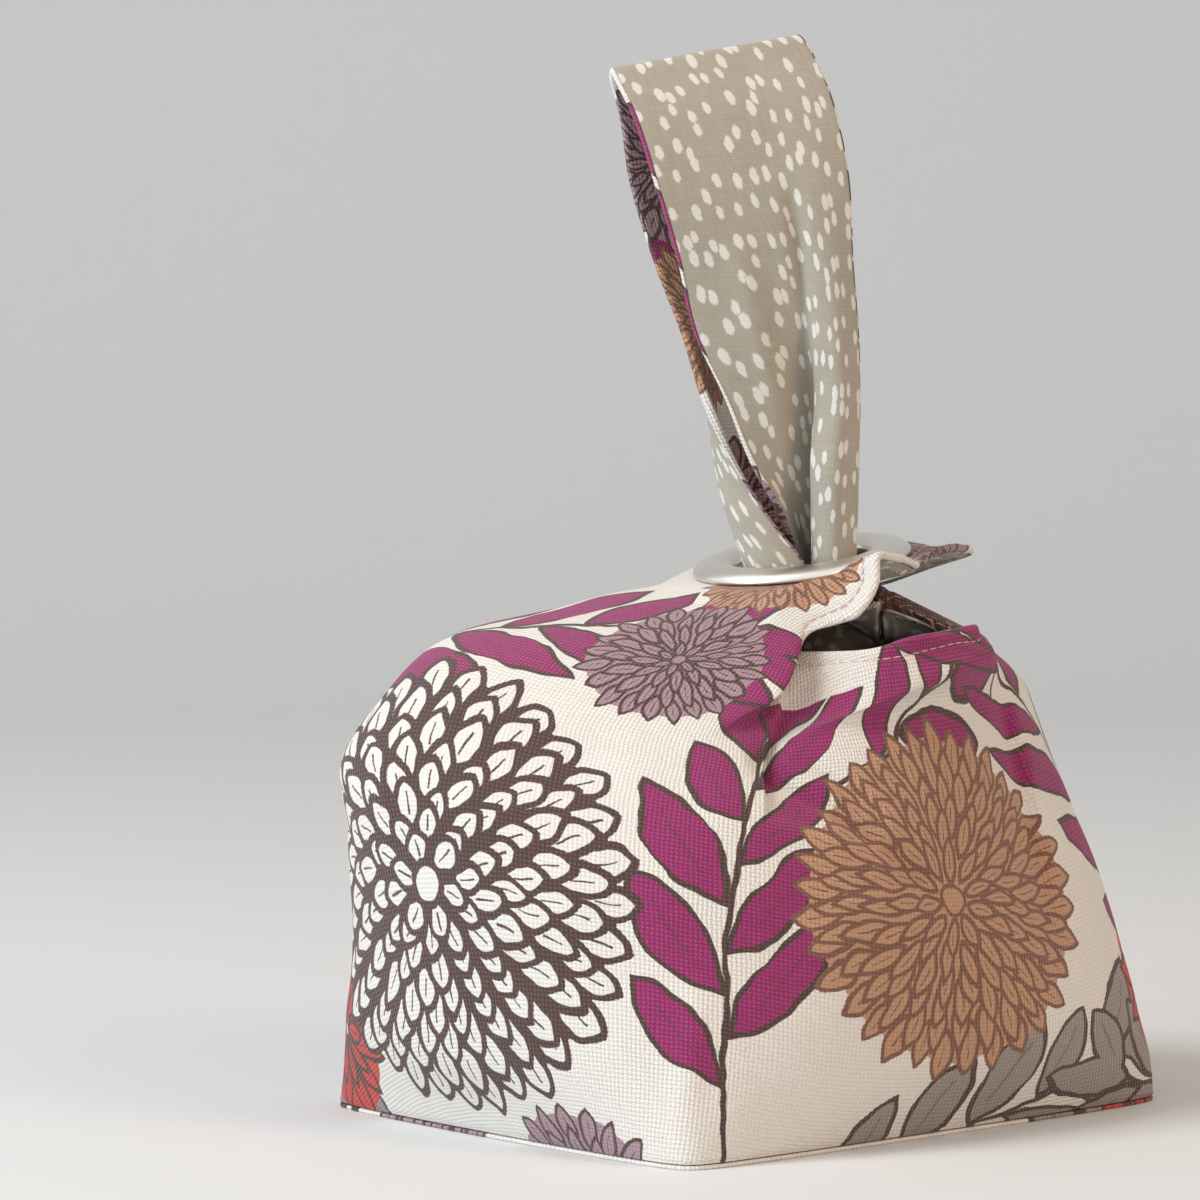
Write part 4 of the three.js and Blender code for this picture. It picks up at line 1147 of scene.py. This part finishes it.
class DUMPLINGBAG_OT_bottom(bpy.types.Operator):
    """Make the bottom panel that the bag stands on"""
    bl_idname = "dumplingbag.bottom"
    bl_label = "Bottom panel"

    def execute(self, context):
        outline = body_cloth().grid[:, 0, :2]
        inset = outline * (1 - BOTTOM_PANEL / 2 / np.linalg.norm(outline, axis=1, keepdims=True))
        ring, rows = len(outline), len(BOTTOM_ROWS)
        plan = inset[:, None] * BOTTOM_ROWS[:, None]
        faces, flat_ids = grid_faces(ring, rows, True)
        corners = np.concatenate([plan, plan[:1]]).reshape(-1, 2)[flat_ids]
        faces = np.where(faces % rows == 0, 0, faces)[:, ::-1]
        corners = corners[:, ::-1]
        upper = np.concatenate([plan, np.full((ring, rows, 1), BOTTOM_PANEL)], axis=2).reshape(-1, 3)
        lower = upper * [1, 1, 0]
        canvas = canvas_material("printed_canvas_bottom", **BOTTOM_PRINT)
        piece = thick_cloth("bottom_canvas", upper, lower, faces, corners, canvas)
        finish_cloth(piece, "bottom_panel")
        return {"FINISHED"}


class DUMPLINGBAG_OT_strap(bpy.types.Operator):
    """Make the strap's two layers, canvas and linen"""
    bl_idname = "dumplingbag.strap"
    bl_label = "Strap"

    def execute(self, context):
        self.canvas()
        self.linen()
        return {"FINISHED"}

    def canvas(self):
        grid = pressed(strap_grid(STRAP_NOSE), False, STRAP_CREASES, STRAP_UNEVEN)
        outer, inner = self.layers(grid, GAP / 2 + OUTER_CLOTH, GAP / 2)
        flat = strap_flat_map(grid)
        for _ in range(2):      # one edge, then the other
            turned = [np.flip(np.swapaxes(a, 0, 1), axis=1) for a in (outer, inner, flat)]
            turned = nosed(*turned, np.full(len(turned[0]), STRAP_NOSE))
            outer, inner, flat = (np.swapaxes(a, 0, 1) for a in turned)
        material = canvas_material("printed_canvas_strap", **STRAP_PRINT)
        self.cloth("strap_canvas", "strap_print", "print_canvas", outer, inner, flat, material)

    def linen(self):
        grid = pressed(strap_grid(STRAP_NOSE + STRAP_INSET), False, STRAP_CREASES, STRAP_UNEVEN)
        outer, inner = self.layers(grid, -GAP / 2, -GAP / 2 - LINING_CLOTH)
        flat = strap_flat_map(grid)
        material = linen_material("dotted_linen_strap")
        self.cloth("strap_linen", "strap_lining", "dotted_linen", outer, inner, flat, material)

    def layers(self, grid, *heights):
        """The grid lifted to each of the heights over its middle face."""
        normals = soft_normals(grid, False)
        return [unfolded(grid + normals * height, normals, False) for height in heights]

    def cloth(self, name, node, slot, outer, inner, flat, material):
        faces, flat_ids = grid_faces(*outer.shape[:2], False)
        piece = thick_cloth(name, outer, inner, faces, flat.reshape(-1, 2)[flat_ids], material)
        finish_cloth(piece, node)


STITCH_NODES = {
    "entry": "NodeGroupInput", "curve": "GeometryNodeMeshToCurve", "evenly": "GeometryNodeResampleCurve",
    "bead": "GeometryNodeMeshUVSphere", "size": "ShaderNodeCombineXYZ", "tangent": "GeometryNodeInputTangent",
    "turn": "FunctionNodeAlignRotationToVector", "placed": "GeometryNodeInstanceOnPoints",
    "real": "GeometryNodeRealizeInstances", "smooth": "GeometryNodeSetShadeSmooth",
    "shade": "GeometryNodeSetMaterial", "leave": "NodeGroupOutput",
}
STITCH_LINKS = (
    ("entry", "Geometry", "curve", "Mesh"), ("curve", "Curve", "evenly", "Curve"),
    ("entry", "Pitch", "evenly", "Length"), ("entry", "Thread", "size", "X"),
    ("entry", "Thread", "size", "Y"), ("entry", "Length", "size", "Z"),
    ("evenly", "Curve", "placed", "Points"), ("bead", "Mesh", "placed", "Instance"),
    ("tangent", 0, "turn", "Vector"), ("turn", 0, "placed", "Rotation"), ("size", 0, "placed", "Scale"),
    ("placed", 0, "real", 0), ("real", 0, "smooth", 0), ("smooth", 0, "shade", 0), ("shade", 0, "leave", 0),
)


def stitch_tree(material):
    """Stitches along every edge line of a mesh: Pitch apart, of the given Length and Thread."""
    tree = bpy.data.node_groups.new("Stitches", "GeometryNodeTree")
    tree.interface.new_socket("Geometry", in_out="INPUT", socket_type="NodeSocketGeometry")
    for label in ("Pitch", "Length", "Thread"):
        tree.interface.new_socket(label, in_out="INPUT", socket_type="NodeSocketFloat")
    tree.interface.new_socket("Geometry", in_out="OUTPUT", socket_type="NodeSocketGeometry")
    nodes = {name: tree.nodes.new(kind) for name, kind in STITCH_NODES.items()}
    nodes["evenly"].mode = "LENGTH"
    nodes["turn"].axis = "Z"
    for label, value in (("Segments", 8), ("Rings", 6), ("Radius", 0.5)):
        nodes["bead"].inputs[label].default_value = value
    nodes["shade"].inputs["Material"].default_value = material
    for start, output, end, socket in STITCH_LINKS:
        tree.links.new(nodes[start].outputs[output], nodes[end].inputs[socket])
    return tree


class DUMPLINGBAG_OT_stitching(bpy.types.Operator):
    """Sew the topstitch round the flap and along the slits, on both sides of the hem"""
    bl_idname = "dumplingbag.stitching"
    bl_label = "Topstitch"

    def execute(self, context):
        sizes = context.scene.bag_sizes
        cloth = body_cloth()
        row = cloth.grid.shape[1] - 1 - round(sizes.hem / HEM_STEP)
        lift = STITCH_LIFT * sizes.thread
        past_root = (cloth.at - STRAP_ROOT["to"]) % 1.0
        sewn = np.argsort(past_root)
        sewn = sewn[past_root[sewn] < 1.0 - (STRAP_ROOT["to"] - STRAP_ROOT["from"])]
        lines = [cloth.layer(depth, cloth.reach)[sewn, row] for depth in (-lift, FLAP_THICKNESS + lift)]
        count = len(sewn)
        edges = [(k * count + i, k * count + i + 1) for k in range(len(lines)) for i in range(count - 1)]
        mesh = bpy.data.meshes.new("stitch_lines")
        mesh.from_pydata((np.concatenate(lines) * MM).tolist(), edges, [])
        piece = bpy.data.objects.new("topstitch", mesh)
        context.scene.collection.objects.link(piece)
        tree = stitch_tree(thread_material("sewing_thread"))
        nodes = piece.modifiers.new("Stitches", "NODES")
        nodes.node_group = tree
        values = {"Pitch": sizes.stitch_pitch, "Length": sizes.stitch_length, "Thread": sizes.thread}
        for item in tree.interface.items_tree:
            if item.in_out == "INPUT" and item.name in values:
                nodes[item.identifier] = values[item.name] * MM
        graph = context.evaluated_depsgraph_get()
        plain = bpy.data.meshes.new_from_object(piece.evaluated_get(graph), depsgraph=graph)
        piece.modifiers.clear()
        piece.data = plain
        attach(piece, "root")
        return {"FINISHED"}


def ring_frame():
    """The grommet's turn and place: it lies on the flap."""
    up = Vector((-RING["rise_x"], -RING["rise_y"], 1)).normalized()
    turn = Vector((0, 0, 1)).rotation_difference(up)
    return np.array(turn.to_matrix()), np.array([RING["x"], RING["y"], RING["z"]])


def turned_profile(name, profile, material, segments=144):
    """A ring turned from a closed profile of (radius, height) points, outside to the left of its way."""
    profile = np.array(profile, float)
    count = len(profile)
    angles = np.linspace(0, 2 * math.pi, segments, endpoint=False)
    points = np.stack([np.outer(np.cos(angles), profile[:, 0]), np.outer(np.sin(angles), profile[:, 0]),
                       np.tile(profile[:, 1], (segments, 1))], axis=2).reshape(-1, 3)
    turn, place = ring_frame()
    points = points @ turn.T + place
    i, j = np.meshgrid(np.arange(segments), np.arange(count), indexing="ij")
    i, j = i.ravel(), j.ravel()
    i2, j2 = (i + 1) % segments, (j + 1) % count
    faces = np.stack([i * count + j, i2 * count + j, i2 * count + j2, i * count + j2], axis=1)
    return make_object(name, points, faces, None, material)


def arc(centre, radii, start, end, steps):
    """Points of an elliptic arc in a profile, angles in degrees."""
    angles = np.radians(np.linspace(start, end, steps + 1))
    return [(centre[0] + radii[0] * math.cos(a), centre[1] + radii[1] * math.sin(a)) for a in angles]


class DUMPLINGBAG_OT_grommet(bpy.types.Operator):
    """Make the two halves of the snap grommet"""
    bl_idname = "dumplingbag.grommet"
    bl_label = "Snap grommet"

    def execute(self, context):
        metal = metal_material("satin_metal")
        outer, bore, seat, side, roll = (RING[name] for name in "outer bore seat side roll".split())
        chamfer, lip, wall_lip = (RING[name] for name in "chamfer lip wall_lip".split())
        wall = bore + RING["sleeve"]
        middle, half = (outer + bore) / 2, (outer - bore) / 2
        under = -(FLAP_THICKNESS + seat)
        foot = under - RING["lower"]
        dome = arc((middle, seat + side), (half, RING["dome"] - side), 0, 180, 28)
        upper = [(outer, seat + chamfer), *dome, (bore, foot + lip), (bore + lip, foot),
                 (wall - wall_lip, foot), (wall, foot + wall_lip), (wall, seat), (outer - chamfer, seat)]
        top = turned_profile("grommet_upper", upper, metal)
        inner = wall + GAP
        rim = arc((outer - roll, under - side), (roll, RING["lower"] - side), -90, 0, 10)
        lower = [(outer - chamfer, under), (inner, under), (inner, foot), *rim]
        below = turned_profile("grommet_lower", lower[::-1], metal)
        for piece, node in ((top, "ring_upper"), (below, "ring_lower")):
            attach(piece, "root")
            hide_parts(node)
        return {"FINISHED"}


# ---------- Stage ----------
def soft_light(name, place, target, size, power, tint):
    """A round area lamp that faces the target."""
    lamp = bpy.data.lights.new(name, "AREA")
    lamp.shape = "DISK"
    lamp.size = size
    lamp.energy = power
    lamp.color = tint
    light = bpy.data.objects.new(name, lamp)
    light.location = place
    light.rotation_euler = (Vector(target) - light.location).to_track_quat("-Z", "Y").to_euler()
    bpy.context.scene.collection.objects.link(light)


def make_backdrop(side=3.0, front=-3.0, bend_from=1.2, bend=0.8, top=3.0):
    """A floor that bends up into a wall behind the bag."""
    profile = [(front, 0.0), (bend_from, 0.0)]
    for angle in np.linspace(0.1, math.pi / 2, 14):
        profile.append((bend_from + bend * math.sin(angle), bend - bend * math.cos(angle)))
    profile.append((bend_from + bend, top))
    count = len(profile)
    faces = [(i, i + count, i + count + 1, i + 1) for i in range(count - 1)]
    mesh = bpy.data.meshes.new("floor")
    mesh.from_pydata([(x, y, z) for x in (-side, side) for y, z in profile], [], faces)
    mesh.polygons.foreach_set("use_smooth", [True] * len(faces))
    mesh.materials.append(new_material("paper", {"Base Color": srgb(226, 227, 227), "Roughness": 0.9})[0])
    floor = bpy.data.objects.new("floor", mesh)
    bpy.context.scene.collection.objects.link(floor)
    return floor


def room_light(strength):
    """Light from all round at this strength, full where the camera sees it or its mirror image."""
    world = bpy.data.worlds.new("room")
    world.use_nodes = True
    nodes, links = world.node_tree.nodes, world.node_tree.links
    path, share, seen = (nodes.new(f"ShaderNode{kind}") for kind in ("LightPath", "MapRange", "Math"))
    share.inputs["To Min"].default_value = strength
    share.inputs["To Max"].default_value = 1.0
    seen.operation = "MAXIMUM"
    links.new(path.outputs["Is Camera Ray"], seen.inputs[0])
    links.new(path.outputs["Is Glossy Ray"], seen.inputs[1])
    links.new(seen.outputs[0], share.inputs["Value"])
    nodes["Background"].inputs["Color"].default_value = (0.98, 0.99, 1.0, 1.0)
    links.new(share.outputs["Result"], nodes["Background"].inputs["Strength"])
    return world


def level_camera(place, pitch, angle):
    """A camera that looks along +Y, pitched down, with this angle of view across; degrees."""
    view = bpy.data.cameras.new("camera")
    view.sensor_fit = "HORIZONTAL"
    view.angle = math.radians(angle)
    camera = bpy.data.objects.new("camera", view)
    camera.location = place
    camera.rotation_euler = (math.radians(90 - pitch), 0, 0)
    bpy.context.scene.collection.objects.link(camera)
    return camera


class DUMPLINGBAG_OT_stage(bpy.types.Operator):
    """Set the floor, backdrop, soft lights and camera"""
    bl_idname = "dumplingbag.stage"
    bl_label = "Stage"

    def execute(self, context):
        scene = context.scene
        floor = make_backdrop()
        middle = (0.0, 0.0, 0.13)
        soft_light("key", (-1.0, -0.45, 1.45), middle, 0.7, 15.5, (1.0, 0.96, 0.94))
        soft_light("window", (-1.5, -1.0, 0.30), middle, 0.9, 15.5, (0.64, 0.85, 1.0))
        soft_light("bounce", (1.15, -0.8, 1.15), middle, 0.7, 7.5, (1.0, 0.66, 0.38))
        scene.world = room_light(0.44)
        scene.camera = level_camera((-0.044, -1.7684, 0.2841), 4.34, 11.42)
        scene.view_settings.view_transform = "Standard"
        return {"FINISHED"}


class DUMPLINGBAG_PT_panel(bpy.types.Panel):
    """Buttons for the bag's pieces"""
    bl_label = "Dumpling bag"
    bl_idname = "DUMPLINGBAG_PT_panel"
    bl_space_type = "VIEW_3D"
    bl_region_type = "UI"
    bl_category = "Dumpling bag"

    def draw(self, context):
        for operator in OPERATORS:
            self.layout.operator(operator.bl_idname)
        for group in (context.scene.bag_sizes, context.scene.bag_colours):
            for name in group.bl_rna.properties.keys():
                if name not in {"rna_type", "name"}:
                    self.layout.prop(group, name)


OPERATORS = (DUMPLINGBAG_OT_stage, DUMPLINGBAG_OT_body, DUMPLINGBAG_OT_lining, DUMPLINGBAG_OT_bottom,
             DUMPLINGBAG_OT_strap, DUMPLINGBAG_OT_grommet, DUMPLINGBAG_OT_stitching)
CLASSES = (BagSizes, BagColours, *OPERATORS, DUMPLINGBAG_PT_panel)


def register():
    for cls in CLASSES:
        bpy.utils.register_class(cls)
    bpy.types.Scene.bag_sizes = bpy.props.PointerProperty(type=BagSizes)
    bpy.types.Scene.bag_colours = bpy.props.PointerProperty(type=BagColours)


def unregister():
    del bpy.types.Scene.bag_sizes
    del bpy.types.Scene.bag_colours
    for cls in reversed(CLASSES):
        bpy.utils.unregister_class(cls)


def main():
    register()
    build_groups()
    bpy.ops.dumplingbag.stage()
    bpy.ops.dumplingbag.body()
    bpy.ops.dumplingbag.lining()
    bpy.ops.dumplingbag.bottom()
    bpy.ops.dumplingbag.strap()
    bpy.ops.dumplingbag.grommet()
    bpy.ops.dumplingbag.stitching()


if __name__ == "__main__":
    main()
